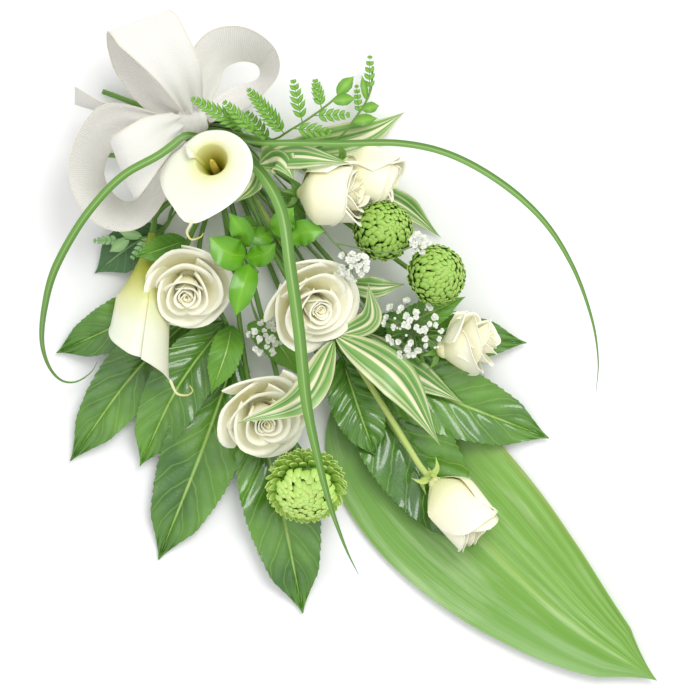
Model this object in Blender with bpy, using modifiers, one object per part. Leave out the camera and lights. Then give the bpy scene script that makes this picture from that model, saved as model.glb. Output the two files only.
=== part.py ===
"""Tied sympathy sheaf of white and green flowers, lying on its flat back.

The long axis runs along Y, with the bow and the cut stems at +Y and the tip of the long leaf at -Y.
All sizes and places in this file are millimetres; MM turns them into metres.
"""
import math
import random
from collections import namedtuple

import bmesh
import bpy
import numpy as np
from mathutils import Matrix, Vector

MM = 0.001

# The middle of the layout below, which goes to the origin.
MIDDLE = np.array([-22.35, -24.37, 0.0])

# Thicknesses of leaves, grass and ribbon, radii of stems, and the room left between pieces
BLADE = 0.7
CLEAR = 0.3
ROSE_STEM = 2.0
THICK_STEM = 2.4
FINE_STEM = 0.9
RACHIS = 1.1
GRASS_THICK = 0.8
RIBBON_THICK = 0.7

# The tie, the way the bundle runs from it to the cut ends, and the way across it
TIE = np.array([31.0, 202.0])
BACK = np.array([-0.5, 0.866])
SIDE = np.array([0.866, 0.5])
TIE_THICK = 0.8
TIE_WIDTH = 18.0
SPLAY = 90.0

# The height map on which each piece is laid over those before it
CELL = 0.4
SAMPLE = 0.36
MAP_LOW = np.array([-240.0, -370.0])
MAP_SIZE = (1125, 1755)

# Steps along a stem: the runs at which its need is noted, its rings, the first ring after its
# bloom, and the collar under the bloom
RUN_STEP = 2.0
RING_STEP = 34.0
HEAD_STEP = 9.0
NECK = 1.5

# How a piece is eased up: the slope that its lift may have, how far its tail may sink, the share of
# what it lacks that each round adds, the number of rounds, and when it is near enough
STEEPEST = 0.4
SINK = 12.0
EASE = 0.3
ROUNDS = 200
NEAR_ENOUGH = 0.01

random.seed(7)


for old in list(bpy.data.objects):
    bpy.data.objects.remove(old, do_unlink=True)
sheaf = bpy.data.collections.new("Sympathy flower arrangement")
bpy.context.scene.collection.children.link(sheaf)


def material(name, colour, roughness):
    """Plain finish from a linear colour."""
    finish = bpy.data.materials.new(name)
    finish.use_nodes = True
    shader = finish.node_tree.nodes["Principled BSDF"]
    shader.inputs["Base Color"].default_value = (*colour, 1.0)
    shader.inputs["Roughness"].default_value = roughness
    shader.inputs["Metallic"].default_value = 0.0
    return finish


PETAL_WHITE = material("ivory rose petal", (0.87, 0.84, 0.66), 0.55)
CALLA_WHITE = material("calla spathe", (0.90, 0.88, 0.76), 0.4)
SPADIX_YELLOW = material("calla spadix", (0.80, 0.62, 0.10), 0.6)
MUM_GREEN = material("green chrysanthemum petal", (0.30, 0.50, 0.09), 0.55)
MUM_LIME = material("lime chrysanthemum petal", (0.45, 0.68, 0.16), 0.55)
STEM_GREEN = material("flower stem", (0.20, 0.34, 0.09), 0.5)
BUD_STEM_GREEN = material("pale flower stem", (0.52, 0.66, 0.22), 0.5)
ASPIDISTRA_GREEN = material("aspidistra leaf", (0.21, 0.42, 0.09), 0.35)
GLOSSY_GREEN = material("glossy toothed leaf", (0.04, 0.22, 0.04), 0.25)
LAUREL_GREEN = material("laurel leaf", (0.05, 0.15, 0.07), 0.35)
DRACAENA_STRIPED = material("striped dracaena leaf", (0.40, 0.55, 0.22), 0.4)
RUSCUS_GREEN = material("ruscus leaf", (0.09, 0.46, 0.02), 0.35)
FERN_GREEN = material("fern frond", (0.10, 0.38, 0.04), 0.5)
GRASS_GREEN = material("lily grass", (0.16, 0.42, 0.12), 0.4)
GYPSOPHILA_WHITE = material("gypsophila", (0.85, 0.87, 0.80), 0.6)
RIBBON_WHITE = material("off-white ribbon", (0.87, 0.86, 0.82), 0.75)
TIE_CORD = material("binding band", (0.55, 0.50, 0.38), 0.7)


# Shared shaping tools

def unit(vector):
    vector = np.asarray(vector, float)
    return vector / np.linalg.norm(vector)


def smooth(points, count):
    """Points spread evenly on a smooth curve through hand-set points."""
    p = np.asarray(points, float)
    p = np.vstack([2 * p[0] - p[1], p, 2 * p[-1] - p[-2]])
    steps = np.linspace(0, 1, 14, endpoint=False)[:, None]
    runs = []
    for a, b, c, d in zip(p, p[1:], p[2:], p[3:]):
        cubic = (3 * b - a - 3 * c + d) * steps ** 3
        runs.append(0.5 * (2 * b + (c - a) * steps + (2 * a - 5 * b + 4 * c - d) * steps ** 2 + cubic))
    line = np.vstack(runs + [p[-2:-1]])
    length = np.r_[0, np.cumsum(np.linalg.norm(np.diff(line, axis=0), axis=1))]
    want = np.linspace(0, length[-1], count)
    return np.stack([np.interp(want, length, line[:, k]) for k in range(3)], axis=1)


def as_object(name, form):
    """A mesh object from a bmesh, in the scene."""
    mesh = bpy.data.meshes.new(name)
    form.to_mesh(mesh)
    form.free()
    piece = bpy.data.objects.new(name, mesh)
    sheaf.objects.link(piece)
    return piece


def settle(piece):
    """Replace a curve, or a mesh with modifiers, by the plain welded mesh that it gives."""
    graph = bpy.context.evaluated_depsgraph_get()
    mesh = bpy.data.meshes.new_from_object(piece.evaluated_get(graph))
    form = bmesh.new()
    form.from_mesh(mesh)
    bmesh.ops.remove_doubles(form, verts=form.verts[:], dist=1e-6)
    bmesh.ops.triangulate(form, faces=form.faces[:])
    bmesh.ops.recalc_face_normals(form, faces=form.faces[:])
    form.to_mesh(mesh)
    form.free()
    fresh = bpy.data.objects.new(piece.name, mesh)
    sheaf.objects.link(fresh)
    fresh.matrix_world = piece.matrix_world
    bpy.data.objects.remove(piece)
    return fresh


def sheet(across, along, place, thickness=BLADE):
    """A grid carried to its place by place(u, v), u from -1 to 1 and v from 0 to 1, and thickened."""
    form = bmesh.new()
    bmesh.ops.create_grid(form, x_segments=across, y_segments=along, size=1)
    for vert in form.verts:
        vert.co = Vector(place(vert.co.x, (vert.co.y + 1) / 2)) * MM
    bmesh.ops.triangulate(form, faces=form.faces[:])
    piece = as_object("sheet", form)
    shell = piece.modifiers.new("Thickness", "SOLIDIFY")
    shell.thickness = thickness * MM
    shell.offset = 0
    return settle(piece)


def tube(points, radii, sides=6):
    """A stem: a bevelled poly curve with a radius at each point and filled caps."""
    curve = bpy.data.curves.new("stem", "CURVE")
    curve.dimensions = "3D"
    curve.bevel_depth = MM
    curve.bevel_resolution = {4: 0, 6: 1, 8: 2}[sides]
    curve.use_fill_caps = True
    spline = curve.splines.new("POLY")
    spline.points.add(len(points) - 1)
    radii = np.broadcast_to(np.asarray(radii, float), (len(points),))
    for spot, place, radius in zip(spline.points, points, radii):
        spot.co = (*(Vector(place) * MM), 1)
        spot.radius = radius
    piece = bpy.data.objects.new("stem", curve)
    sheaf.objects.link(piece)
    return settle(piece)


def ball(place, size, segments=8, rings=5, turn=None):
    """A rounded lump, size being its half widths."""
    form = bmesh.new()
    bmesh.ops.create_uvsphere(form, u_segments=segments, v_segments=rings, radius=1)
    spin = turn if turn is not None else Matrix.Identity(3)
    for vert in form.verts:
        grown = Vector((vert.co.x * size[0], vert.co.y * size[1], vert.co.z * size[2]))
        vert.co = (spin @ grown + Vector(place)) * MM
    return settle(as_object("ball", form))


def turned(profile, sides):
    """A solid of revolution about Z from (radius, height) points that run from the top down."""
    form = bmesh.new()
    last = None
    for radius, height in profile:
        vert = form.verts.new(Vector((radius, 0, height)) * MM)
        if last:
            form.edges.new((last, vert))
        last = vert
    piece = as_object("turned", form)
    screw = piece.modifiers.new("Turn", "SCREW")
    screw.steps = sides
    screw.render_steps = sides
    screw.use_merge_vertices = True
    screw.merge_threshold = 0.00001
    return settle(piece)


def join(name, pieces, finish):
    """One closed body from overlapping pieces, with sealed hollows filled and scraps dropped."""
    body = pieces[0]
    if len(pieces) > 1:
        others = bpy.data.collections.new("Joining")
        bpy.context.scene.collection.children.link(others)
        for piece in pieces[1:]:
            sheaf.objects.unlink(piece)
            others.objects.link(piece)
        union = body.modifiers.new("Union", "BOOLEAN")
        union.operation = "UNION"
        union.operand_type = "COLLECTION"
        union.collection = others
        union.solver = "MANIFOLD"
        body = settle(body)
        for piece in pieces[1:]:
            bpy.data.objects.remove(piece)
        bpy.data.collections.remove(others)
    keep_outer_shell(body)
    body.name = name
    body.data.name = name
    body.data.materials.clear()
    body.data.materials.append(finish)
    return body


def keep_outer_shell(body):
    """Keep the widest connected shell of a mesh and delete the others."""
    form = bmesh.new()
    form.from_mesh(body.data)
    left = set(form.verts)
    shells = []
    while left:
        stack = [left.pop()]
        shell = list(stack)
        while stack:
            for edge in stack.pop().link_edges:
                for vert in edge.verts:
                    if vert in left:
                        left.remove(vert)
                        stack.append(vert)
                        shell.append(vert)
        shells.append(shell)
    if len(shells) > 1:
        shells.sort(key=lambda group: max((v.co - group[0].co).length for v in group))
        for shell in shells[:-1]:
            bmesh.ops.delete(form, geom=shell, context="VERTS")
    form.to_mesh(body.data)
    form.free()


# Laying: each piece is eased up along its own stem until it clears what lies under it

heights = np.zeros(MAP_SIZE)
tie_tops = []


def spread(corners):
    """Samples all over a set of triangles, closer together than the cells of the height map."""
    edges = np.linalg.norm(corners[:, :, :3] - np.roll(corners[:, :, :3], 1, axis=1), axis=2)
    steps = np.ceil(edges.max(axis=1) / SAMPLE / 4).astype(int) * 4
    found = []
    for count in np.unique(steps):
        some = corners[steps == count]
        i, j = np.meshgrid(np.arange(count + 1), np.arange(count + 1))
        inside = i + j <= count
        a = i[inside] / count
        b = j[inside] / count
        share = np.stack([1 - a - b, a, b])
        found.append(np.einsum("tck,cs->tsk", some, share).reshape(-1, corners.shape[2]))
    return np.vstack(found)


def cells(samples):
    spots = ((samples[:, :2] - MAP_LOW) / CELL).astype(int)
    return spots[:, 0], spots[:, 1]


def widened(grid):
    """Each cell takes the highest of itself and its eight neighbours."""
    grown = grid.copy()
    for axis in (0, 1):
        base = grown.copy()
        for step in (-1, 1):
            grown = np.maximum(grown, np.roll(base, step, axis=axis))
    return grown


def read(piece):
    spots = np.empty(len(piece.data.vertices) * 3)
    piece.data.vertices.foreach_get("co", spots)
    faces = np.array([tuple(face.vertices) for face in piece.data.polygons])
    return spots.reshape(-1, 3) / MM, faces


def write(piece, spots):
    piece.data.vertices.foreach_set("co", (spots * MM).ravel())
    piece.data.update()


def measure(line):
    return np.r_[0, np.cumsum(np.linalg.norm(np.diff(line, axis=0), axis=1))]


def record(samples):
    """Note the tops of a piece on the height map."""
    np.maximum.at(heights, cells(samples), samples[:, 2])


def least_lift(need, knots, head_run, tie_run):
    """Smallest lift at each knot that clears what is needed at every run, with gentle slopes.

    The tail past the front of the bundle may sink, until it rests on what lies under it.
    """
    runs = (np.arange(len(need)) + 0.5) * RUN_STEP
    runs = np.clip(runs, 0, knots[-1])
    left = np.clip(np.searchsorted(knots, runs, side="right") - 1, 0, len(knots) - 2)
    share = (runs - knots[left]) / (knots[left + 1] - knots[left])
    weight = share ** 2 + (1 - share) ** 2
    head = knots <= max(head_run, 0)
    tail = knots >= tie_run
    lift = np.where(tail & ~head, -SINK, 0.0)
    for _ in range(ROUNDS):
        lack = need - np.interp(runs, knots, lift)
        if lack.max() < NEAR_ENOUGH:
            break
        lack = np.maximum(lack, 0) * EASE
        more = np.zeros(len(knots))
        np.maximum.at(more, left, lack * (1 - share) / weight)
        np.maximum.at(more, left + 1, lack * share / weight)
        lift += more
        lift[head] = lift[head].max()
        lift[tail] = lift[tail].max()
        for k in range(1, len(knots)):
            lift[k] = max(lift[k], lift[k - 1] - STEEPEST * (knots[k] - knots[k - 1]))
        for k in range(len(knots) - 2, -1, -1):
            lift[k] = max(lift[k], lift[k + 1] - STEEPEST * (knots[k + 1] - knots[k]))
    return lift


def lay(pieces, line=None, heads=(), head_run=0.0, open_run=0.0):
    """Lay pieces that share one stem line over everything laid before.

    The line runs from the flower or tip to the cut end. Heads and the first head_run of the line move
    as one, and so does the stretch past the tie; between them the lift changes slowly. What lies
    within open_run of the tip stays off the height map, as it rises over the bow by its own shape.
    """
    data = [read(piece) for piece in pieces]
    if line is None:
        runs = [np.zeros(len(spots)) for spots, _ in data]
        knots = np.array([0.0, RUN_STEP * 2])
        tie_run = 0.0
    else:
        knots = line.knots
        tie_run = line.front
        runs = []
        for piece, (spots, _) in zip(pieces, data):
            gaps = np.linalg.norm(spots[:, None, :] - line.spots[None, :, :], axis=2)
            own = line.runs[np.argmin(gaps, axis=1)]
            runs.append(own * 0.0 if piece in heads else own)
    top = widened(heights)
    need = np.full(int(knots[-1] / RUN_STEP) + 2, -SINK)
    for (spots, faces), own in zip(data, runs):
        samples = spread(np.concatenate([spots, own[:, None]], axis=1)[faces])
        under = top[cells(samples)]
        under = np.where(under > 0, under + CLEAR, 0.0)
        np.maximum.at(need, (samples[:, 3] / RUN_STEP).astype(int), under - samples[:, 2])
    if line is None:
        lift = np.full(len(knots), need.max())
    else:
        lift = least_lift(need, knots, head_run, tie_run)
    for piece, (spots, faces), own in zip(pieces, data, runs):
        spots[:, 2] += np.interp(own, knots, lift)
        write(piece, spots)
        samples = spread(np.concatenate([spots, own[:, None]], axis=1)[faces])
        samples = samples[samples[:, 3] >= open_run]
        record(samples)
        in_band = np.abs((samples[:, :2] - TIE) @ BACK) < TIE_WIDTH / 2 + 1
        tied = samples[in_band & (samples[:, 3] >= tie_run)]
        if line is not None and len(tied):
            tie_tops.append(tied[:, 2].max())


# Stems: their spacing across a row of the bundle and from row to row, and how far in front of the
# tie the bundle starts

ROW_PITCH = 6.0
ROW_RISE = 4.0
FRONT_RUN = 24.0
LINE_STEP = 2.0

# Rows of the bundle from the bottom up: each stem's place across the row, and its reach past the tie
BUNDLE = (
    (("laurel", -3, 44), ("glossy_1", -2, 52), ("aspidistra", -1, 58), ("glossy_2", 0, 50),
     ("dracaena_e", 1, 40), ("dracaena_f", 2, 44), ("fern_b", 3, 46)),
    (("fern_c", -2.5, 48), ("calla_2", -1.5, 86), ("rose_7", -0.5, 60), ("rose_6", 0.5, 54),
     ("rose_5", 1.5, 79), ("dracaena_d", 2.5, 42)),
    (("rose_3", -3, 65), ("mum_3", -2, 86), ("dracaena_b", -1, 42), ("gypsophila_3", 0, 45),
     ("mum_2", 1, 50), ("gypsophila_1", 2, 44), ("fern_a", 3, 48)),
    (("rose_1", -2.5, 52), ("gypsophila_2", -1.5, 40), ("mum_1", 0.5, 54), ("rose_4", 1.5, 72)),
    (("ruscus_a", -2.5, 38), ("dracaena_a", -1.5, 40), ("rose_2", -0.5, 52), ("ruscus_b", 0.5, 44),
     ("dracaena_c", 1.5, 44), ("fern_d", 2.5, 38)),
    (("calla_1", -1.5, 46), ("grass_a", -0.5, 30), ("grass_b", 0.5, 32), ("grass_c", 1.5, 30)),
)
BAND_HALF = 3 * ROW_PITCH * (1 + TIE_WIDTH / 2 / SPLAY) + THICK_STEM + 1.6
SLOTS = {name: (row, slot, reach) for row, stems in enumerate(BUNDLE) for name, slot, reach in stems}


# A stem's line: its points, the run of each, the runs at which its stem has a ring of points and
# its lift may change, and the run at the front of the bundle
Line = namedtuple("Line", "spots runs knots front")


def bundle(name, radius):
    """Straight end of a stem's line: in front of the tie, in the tie and at the cut end."""
    row, slot, reach = SLOTS[name]
    low = TIE_THICK + CLEAR + radius + row * ROW_RISE
    points = []
    for run in (-FRONT_RUN, 0.0, reach):
        spot = TIE + BACK * run + SIDE * slot * ROW_PITCH * (1 + abs(run) / SPLAY)
        points.append(np.array((*spot, low)))
    return points


def stem_line(name, points, radius):
    """Line from the head or tip to the cut end, smooth up to the bundle and straight from there."""
    front, middle, end = bundle(name, radius)
    free = smooth(list(points) + [front, middle], 200)
    free = free[:np.argmin(np.linalg.norm(free - front, axis=1))]
    pieces = [free, np.array([front])]
    for near, far in ((front, middle), (middle, end)):
        steps = int(math.dist(near, far) / LINE_STEP) + 1
        pieces.append(np.linspace(near, far, steps + 1)[1:])
    spots = np.vstack(pieces)
    runs = measure(spots)
    at_front = runs[len(free)]
    rings = np.linspace(0, at_front, max(3, round(at_front / RING_STEP) + 1))
    at_tie = at_front + math.dist(front, middle)
    return Line(spots, runs, np.r_[0, HEAD_STEP, rings[1:], at_tie, runs[-1]], at_front)


def points_at(line, runs):
    return np.stack([np.interp(runs, line.runs, line.spots[:, k]) for k in range(3)], axis=1)


def on_stem(line, spot):
    """The point in the middle of a stem's tube that lies nearest to a spot."""
    rings = points_at(line, line.knots)
    middles = np.stack([np.interp(line.runs, line.knots, rings[:, k]) for k in range(3)], axis=1)
    return tuple(middles[np.argmin(np.linalg.norm(middles - spot, axis=1))])


def stem(line, radius, sides=6, start=0.0, neck=None):
    """Tube along a stem line from a given run to its cut end, which may widen at its start."""
    want = np.r_[start, line.knots[line.knots > start + 5]]
    radii = np.full(len(want), radius)
    if neck:
        want = np.r_[start, start + NECK, want[1:]]
        radii = np.r_[neck, neck, radii[1:]]
    return tube(points_at(line, want), radii, sides)


def leaf(points, width, across=2, along=6, peak=0.4, power=0.8, fold=0.12, teeth=0.0, roll=0.0,
         twist=0.0, thickness=BLADE, end=0.05):
    """Blade from its base to its tip along hand-set points, folded up at the rib by fold."""
    line = smooth(points, along + 1)
    way = np.gradient(line, axis=0)
    bend = math.log(0.5) / math.log(peak)

    def place(u, v):
        k = round(v * along)
        ahead = unit(way[k])
        side = unit(np.cross(ahead, (0, 0, 1)))
        up = np.cross(side, ahead)
        angle = math.radians(roll + twist * v)
        side, up = (side * math.cos(angle) + up * math.sin(angle),
                    up * math.cos(angle) - side * math.sin(angle))
        half = width / 2 * max(end, math.sin(math.pi * v ** bend) ** power)
        cut = 1 - teeth * (k % 2) if 0 < k < along else 1
        return line[k] + (side * u + up * fold * abs(u)) * half * cut

    return sheet(across, along, place, thickness)


def frame_of(axis, spin=0.0):
    """Rotation that takes local +Z to the axis, after a turn about it."""
    turn = Vector(axis).normalized().to_track_quat("Z", "Y").to_matrix()
    return turn @ Matrix.Rotation(math.radians(spin), 3, "Z")


# Roses

# Base of the bloom, the way it faces, width, height, turn and how open it is
ROSES = {
    "rose_1": dict(base=(-46, 130, 28), face=(-0.20, -0.18, 1), width=68, height=44, spin=20, open=1.0),
    "rose_2": dict(base=(4, 60, 40), face=(0.02, -0.32, 1), width=70, height=46, spin=70, open=1.0),
    "rose_3": dict(base=(-79, 24, 28), face=(-0.10, -0.28, 1), width=70, height=44, spin=130, open=1.0),
    "rose_4": dict(base=(57, 114, 48), face=(0.66, -0.66, 0.36), width=50, height=54, spin=10, open=0.55),
    "rose_5": dict(base=(99, 107, 40), face=(0.36, -0.90, 0.1), width=44, height=46, spin=40, open=0.5),
    "rose_6": dict(base=(47, -48, 34), face=(0.82, -0.50, 0.20), width=56, height=50, spin=95, open=0.8),
    "rose_7": dict(base=(-26, -115, 25), face=(-0.06, -1, 0.05), width=46, height=60, spin=0, open=0.3),
}

# Lines of the rose stems after the bloom, up to the bundle
ROSE_LINES = {
    "rose_1": [(-36, 145, 12)],
    "rose_2": [(8, 84, 20)],
    "rose_3": [(-68, 46, 12)],
    "rose_4": [(48, 135, 26)],
    "rose_5": [(88, 130, 16)],
    "rose_6": [(32, -28, 24)],
    "rose_7": [(-20, -80, 22), (-11, -42, 20)],
}

# Leaves on the rose stems: base, middle and tip, and width
ROSE_LEAVES = {
    "rose_1": [([(-30, 150, 16), (-52, 160, 30), (-66, 168, 34)], 22)],
    "rose_2": [([(17, 118, 20), (10, 122, 26), (-4, 128, 22)], 22)],
    "rose_3": [([(-52, 78, 14), (-70, 66, 34), (-100, 52, 30)], 26),
               ([(-42, 70, 14), (-36, 44, 22), (-42, 14, 16)], 26)],
    "rose_4": [([(50, 120, 28), (42, 104, 36), (28, 84, 30)], 20)],
    "rose_6": [([(30, -10, 26), (60, -22, 30), (92, -34, 24)], 24)],
}

# Petals in a layer, belly and lip radii, height, half width in degrees, and the grid of each petal
OPEN_LAYERS = ((3, 0.56, 0.58, 0.97, 56, 2, 2), (5, 0.86, 1.00, 0.84, 46, 3, 2))
BUD_LAYERS = ((3, 0.60, 0.62, 0.98, 56, 2, 2), (4, 0.92, 1.00, 0.88, 56, 3, 2))


# Bud in the middle of a bloom and the swelling that carries its petals, from the top down:
# radii as shares of the bloom's half width, heights as shares of its height
BLOOM_CORE = ((0, 0.98), (0.20, 0.92), (0.29, 0.72), (0.27, 0.45), (0.40, 0.20), (0.14, 0.0), (0, 0.0))
PETAL_FOOT = 0.14


def petal(turn, half, belly, lip, foot, rise, roll):
    """Rose petal round the bloom's axis: belly and lip radii, heights of its foot and its lip, and
    the roll of its edge."""
    def place(u, v):
        swell = math.sin(min(v / 0.55, 1) * math.pi / 2)
        radius = belly * (0.24 + 0.76 * swell) + (lip - belly) * max(0, (v - 0.45) / 0.55) ** 1.5
        radius += 1.5 * u
        angle = turn + math.radians(half) * u * (0.55 + 0.45 * swell)
        crest = 1 - 0.20 * abs(u) ** 2.5 * v
        height = foot + (rise - foot) * (v - roll * max(0, v - 0.66) ** 2 * 6) * crest
        return radius * math.cos(angle), radius * math.sin(angle), height
    return place


def rose(name):
    """Bloom of petals in two layers round a bud, on a stem with its calyx and leaves."""
    plan = ROSES[name]
    turn = frame_of(plan["face"], plan["spin"])
    base = Vector(plan["base"])
    wide = plan["width"] / 2
    tall = plan["height"]
    opened = plan["open"]

    def put(place):
        return lambda u, v: turn @ Vector(place(u, v)) + base

    layers = OPEN_LAYERS if opened > 0.4 else BUD_LAYERS
    core = turned([(wide * r, tall * h) for r, h in BLOOM_CORE], 6)
    spots, _ = read(core)
    write(core, np.array([turn @ Vector(spot) + base for spot in spots]))
    pieces = [core]
    for row, (count, belly, lip, rise, half, across, along) in enumerate(layers):
        outer = row == len(layers) - 1
        for k in range(count):
            angle = math.radians(360 / count * (k + 0.37 * row))
            flare = wide * (belly + (lip - belly) * opened)
            shape = petal(angle, half, wide * belly * 0.97, flare if outer else wide * lip,
                          tall * PETAL_FOOT, tall * rise, 0.5 * opened if outer else 0.0)
            pieces.append(sheet(across, along, put(shape), 0.9))
    bloom = join(name + "_bloom", pieces, PETAL_WHITE)

    away = -Vector(plan["face"]).normalized()
    start = base + away * (CLEAR + 0.1)
    radius = ROSE_STEM * (1.25 if name == "rose_7" else 1.0)
    points = [start, start + away * 12] + ROSE_LINES[name]
    line = stem_line(name, points, radius)
    parts = [stem(line, radius, neck=wide * 0.10)]
    for k in range(5):
        spread_way = turn @ Vector((math.cos(k * 1.2566), math.sin(k * 1.2566), 0))
        root = start + away * 2.0
        reach = 17 if name == "rose_7" else 13
        middle = root + spread_way * reach * 0.62 + away * 1.5
        tip = root + spread_way * reach + away * (7 if k % 2 else 10)
        parts.append(leaf([root, middle, tip], 6.5, 1, 2 if name == "rose_7" else 1, 0.45, thickness=0.8))
    for spots, width in ROSE_LEAVES.get(name, ()):
        spots = [on_stem(line, spots[0])] + spots[1:]
        parts.append(leaf(spots, width, 2, 5, 0.45, fold=0.2, teeth=0.14))
    green = BUD_STEM_GREEN if name == "rose_7" else STEM_GREEN
    stalk = join(name + "_stem", parts, green)
    lay([bloom, stalk], line, heads=(bloom,), head_run=wide)


# Calla lilies

CALLAS = {
    "calla_1": dict(base=(22, 164, 44), axis=(0.14, 0.34, 1), aim=(-0.86, -0.51, 0.1), tube=42,
                    throat=13, back=17, side=31, tip=60, rise=(2, 10), line=[(25, 163, 28)],
                    open_run=60),
    "calla_2": dict(base=(-44, 172, 22), axis=(-0.80, -0.60, 0.12), aim=(0.6, -0.8, 0.1), tube=54,
                    throat=21, back=20, side=22, tip=30, rise=(6, 46), line=[(-26, 181, 14)],
                    open_run=0),
}
# Run of the stem that rises with its bloom
CALLA_HEAD_RUN = 44


def calla(name):
    """Spathe rolled into a funnel round a spadix, on a smooth stem."""
    plan = CALLAS[name]
    axis = Vector(plan["axis"]).normalized()
    front = Vector(plan["aim"])
    front = (front - axis * front.dot(axis)).normalized()
    across = axis.cross(front)
    base = Vector(plan["base"])
    low, high = plan["rise"]

    def place(u, v):
        angle = u * math.pi * 1.04
        toward = (1 + math.cos(angle)) / 2
        point = toward ** 5
        spiral = 1.0 + 0.05 * u
        if v < 0.5:
            w = v / 0.5
            radius = (3.4 + (plan["throat"] - 3.4) * w ** 1.6) * spiral
            height = plan["tube"] * w
        else:
            w = (v - 0.5) / 0.5
            reach = plan["back"] + (plan["side"] - plan["back"]) * min(1, toward * 2)
            reach += (plan["tip"] - plan["side"]) * point
            radius = (plan["throat"] + (reach - plan["throat"]) * w) * spiral
            lift = low + (high - low) * (toward if high > 20 else point)
            height = plan["tube"] + lift * math.sin(w * math.pi / 2)
        return base + axis * height + (front * math.cos(angle) + across * math.sin(angle)) * radius

    spathe = join(name + "_spathe", [sheet(11, 5, place, 0.9)], CALLA_WHITE)
    heart = base + axis * 6
    spike = [heart, heart + axis * plan["tube"] * 0.5, heart + axis * plan["tube"] * 0.86]
    spadix = join(name + "_spadix", [tube(spike, (1.5, 3.0, 1.6), 8)], SPADIX_YELLOW)
    points = [base + axis * 5, base - axis * 8] + plan["line"]
    line = stem_line(name, points, THICK_STEM)
    foot = [base + axis * 5.6, base - axis * 1.5, base - axis * 6]
    stalk = join(name + "_stem", [stem(line, THICK_STEM, start=10), tube(foot, (2.2, 2.3, THICK_STEM), 6)],
                 STEM_GREEN)
    lay([spathe, spadix, stalk], line, heads=(spathe, spadix), head_run=CALLA_HEAD_RUN,
        open_run=plan["open_run"])


# Green chrysanthemums

MUMS = {
    "mum_1": dict(middle=(83, 47, 48), face=(0.30, -0.15, 1), size=(24, 20), finish=MUM_GREEN,
                  line=[(74, 66, 24)]),
    "mum_2": dict(middle=(88, -6, 40), face=(0.55, -0.25, 1), size=(24, 20), finish=MUM_GREEN,
                  line=[(76, 18, 18)]),
    "mum_3": dict(middle=(-98, -50, 38), face=(-0.45, -0.45, 1), size=(30, 22), finish=MUM_LIME,
                  line=[(-82, -22, 18)]),
}
MUM_COLUMNS = 10
MUM_ROWS = 6
MUM_SPREAD = 1.36


def mum(name):
    """Ball of petals that stand out of a core in rings and lean toward its crown, on a stem."""
    plan = MUMS[name]
    turn = frame_of(plan["face"])
    middle = Vector(plan["middle"])
    wide, tall = plan["size"]
    form = bmesh.new()
    bmesh.ops.create_uvsphere(form, u_segments=MUM_COLUMNS, v_segments=MUM_ROWS, radius=1)
    for vert in form.verts:
        row = math.acos(max(-1, min(1, vert.co.z))) / math.pi * MUM_ROWS
        vert.co = Matrix.Rotation(row * math.pi / MUM_COLUMNS, 3, "Z") @ vert.co
    fronts = [face for face in form.faces if face.calc_center_median().z > -0.75]
    grown = bmesh.ops.extrude_discrete_faces(form, faces=fronts)["faces"]
    for face in grown:
        centre = face.calc_center_median()
        outward = centre.normalized()
        crown = Vector((0, 0, 1)) - outward * outward.z
        for vert in face.verts:
            vert.co = centre + (vert.co - centre) * 0.66 + outward * 0.42 + crown * 0.24
    for vert in form.verts:
        spot = Vector((vert.co.x * wide, vert.co.y * wide, vert.co.z * tall)) / MUM_SPREAD
        vert.co = (middle + turn @ spot) * MM
    head = join(name + "_head", [settle(as_object("head", form))], plan["finish"])
    away = -Vector(plan["face"]).normalized()
    foot = middle + away * (tall / MUM_SPREAD + CLEAR)
    line = stem_line(name, [foot, foot + away * 8] + plan["line"], ROSE_STEM)
    stalk = join(name + "_stem", [stem(line, ROSE_STEM)], STEM_GREEN)
    lay([head, stalk], line, heads=(head,), head_run=wide)


# Gypsophila sprays

GYPSOPHILA = {
    "gypsophila_1": dict(line=[(52, 44, 50), (50, 66, 40)],
                         puffs=((48, 44, 58, 10, 8), (95, 20, 48, 7, 3))),
    "gypsophila_2": dict(line=[(-36, 58, 36), (-28, 80, 28)],
                         puffs=((-40, 54, 42, 12, 6),)),
    "gypsophila_3": dict(line=[(44, -14, 34), (30, 12, 30)],
                         puffs=((46, -23, 38, 21, 12),)),
}

# Run of the stem that rises with its florets
SPRAY_HEAD_RUN = 60


def gypsophila(name):
    """Thin branched stems, each widening to a small cup-shaped floret."""
    plan = GYPSOPHILA[name]
    line = stem_line(name, plan["line"], FINE_STEM)
    pieces = [stem(line, FINE_STEM, 4)]
    fork = Vector(plan["line"][0])
    for x, y, z, reach, count in plan["puffs"]:
        node = Vector((x, y, z - reach * 0.35))
        pieces.append(ball(node, (2.6, 2.6, 2.6), 4, 3))
        pieces.append(tube([Vector(plan["line"][1]), (fork + node) / 2, node], 0.8, 4))
        for k in range(count):
            angle = k * 2.3999
            ring = reach * math.sqrt((k + 0.5) / count)
            crown = z + reach * 0.35 * (1 - (ring / reach) ** 2) + random.uniform(-2, 2)
            tip = Vector((x + ring * math.cos(angle), y + ring * math.sin(angle), crown))
            lean = (tip - node).normalized()
            pieces.append(tube([node, tip - lean * 3.2, tip], (0.55, 0.7, random.uniform(2.8, 3.6)), 4))
    spray = join(name, pieces, GYPSOPHILA_WHITE)
    lay([spray], line, head_run=SPRAY_HEAD_RUN)


# Single leaves: the blade from its base to its tip, and the line of the stalk from there to the bundle

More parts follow.
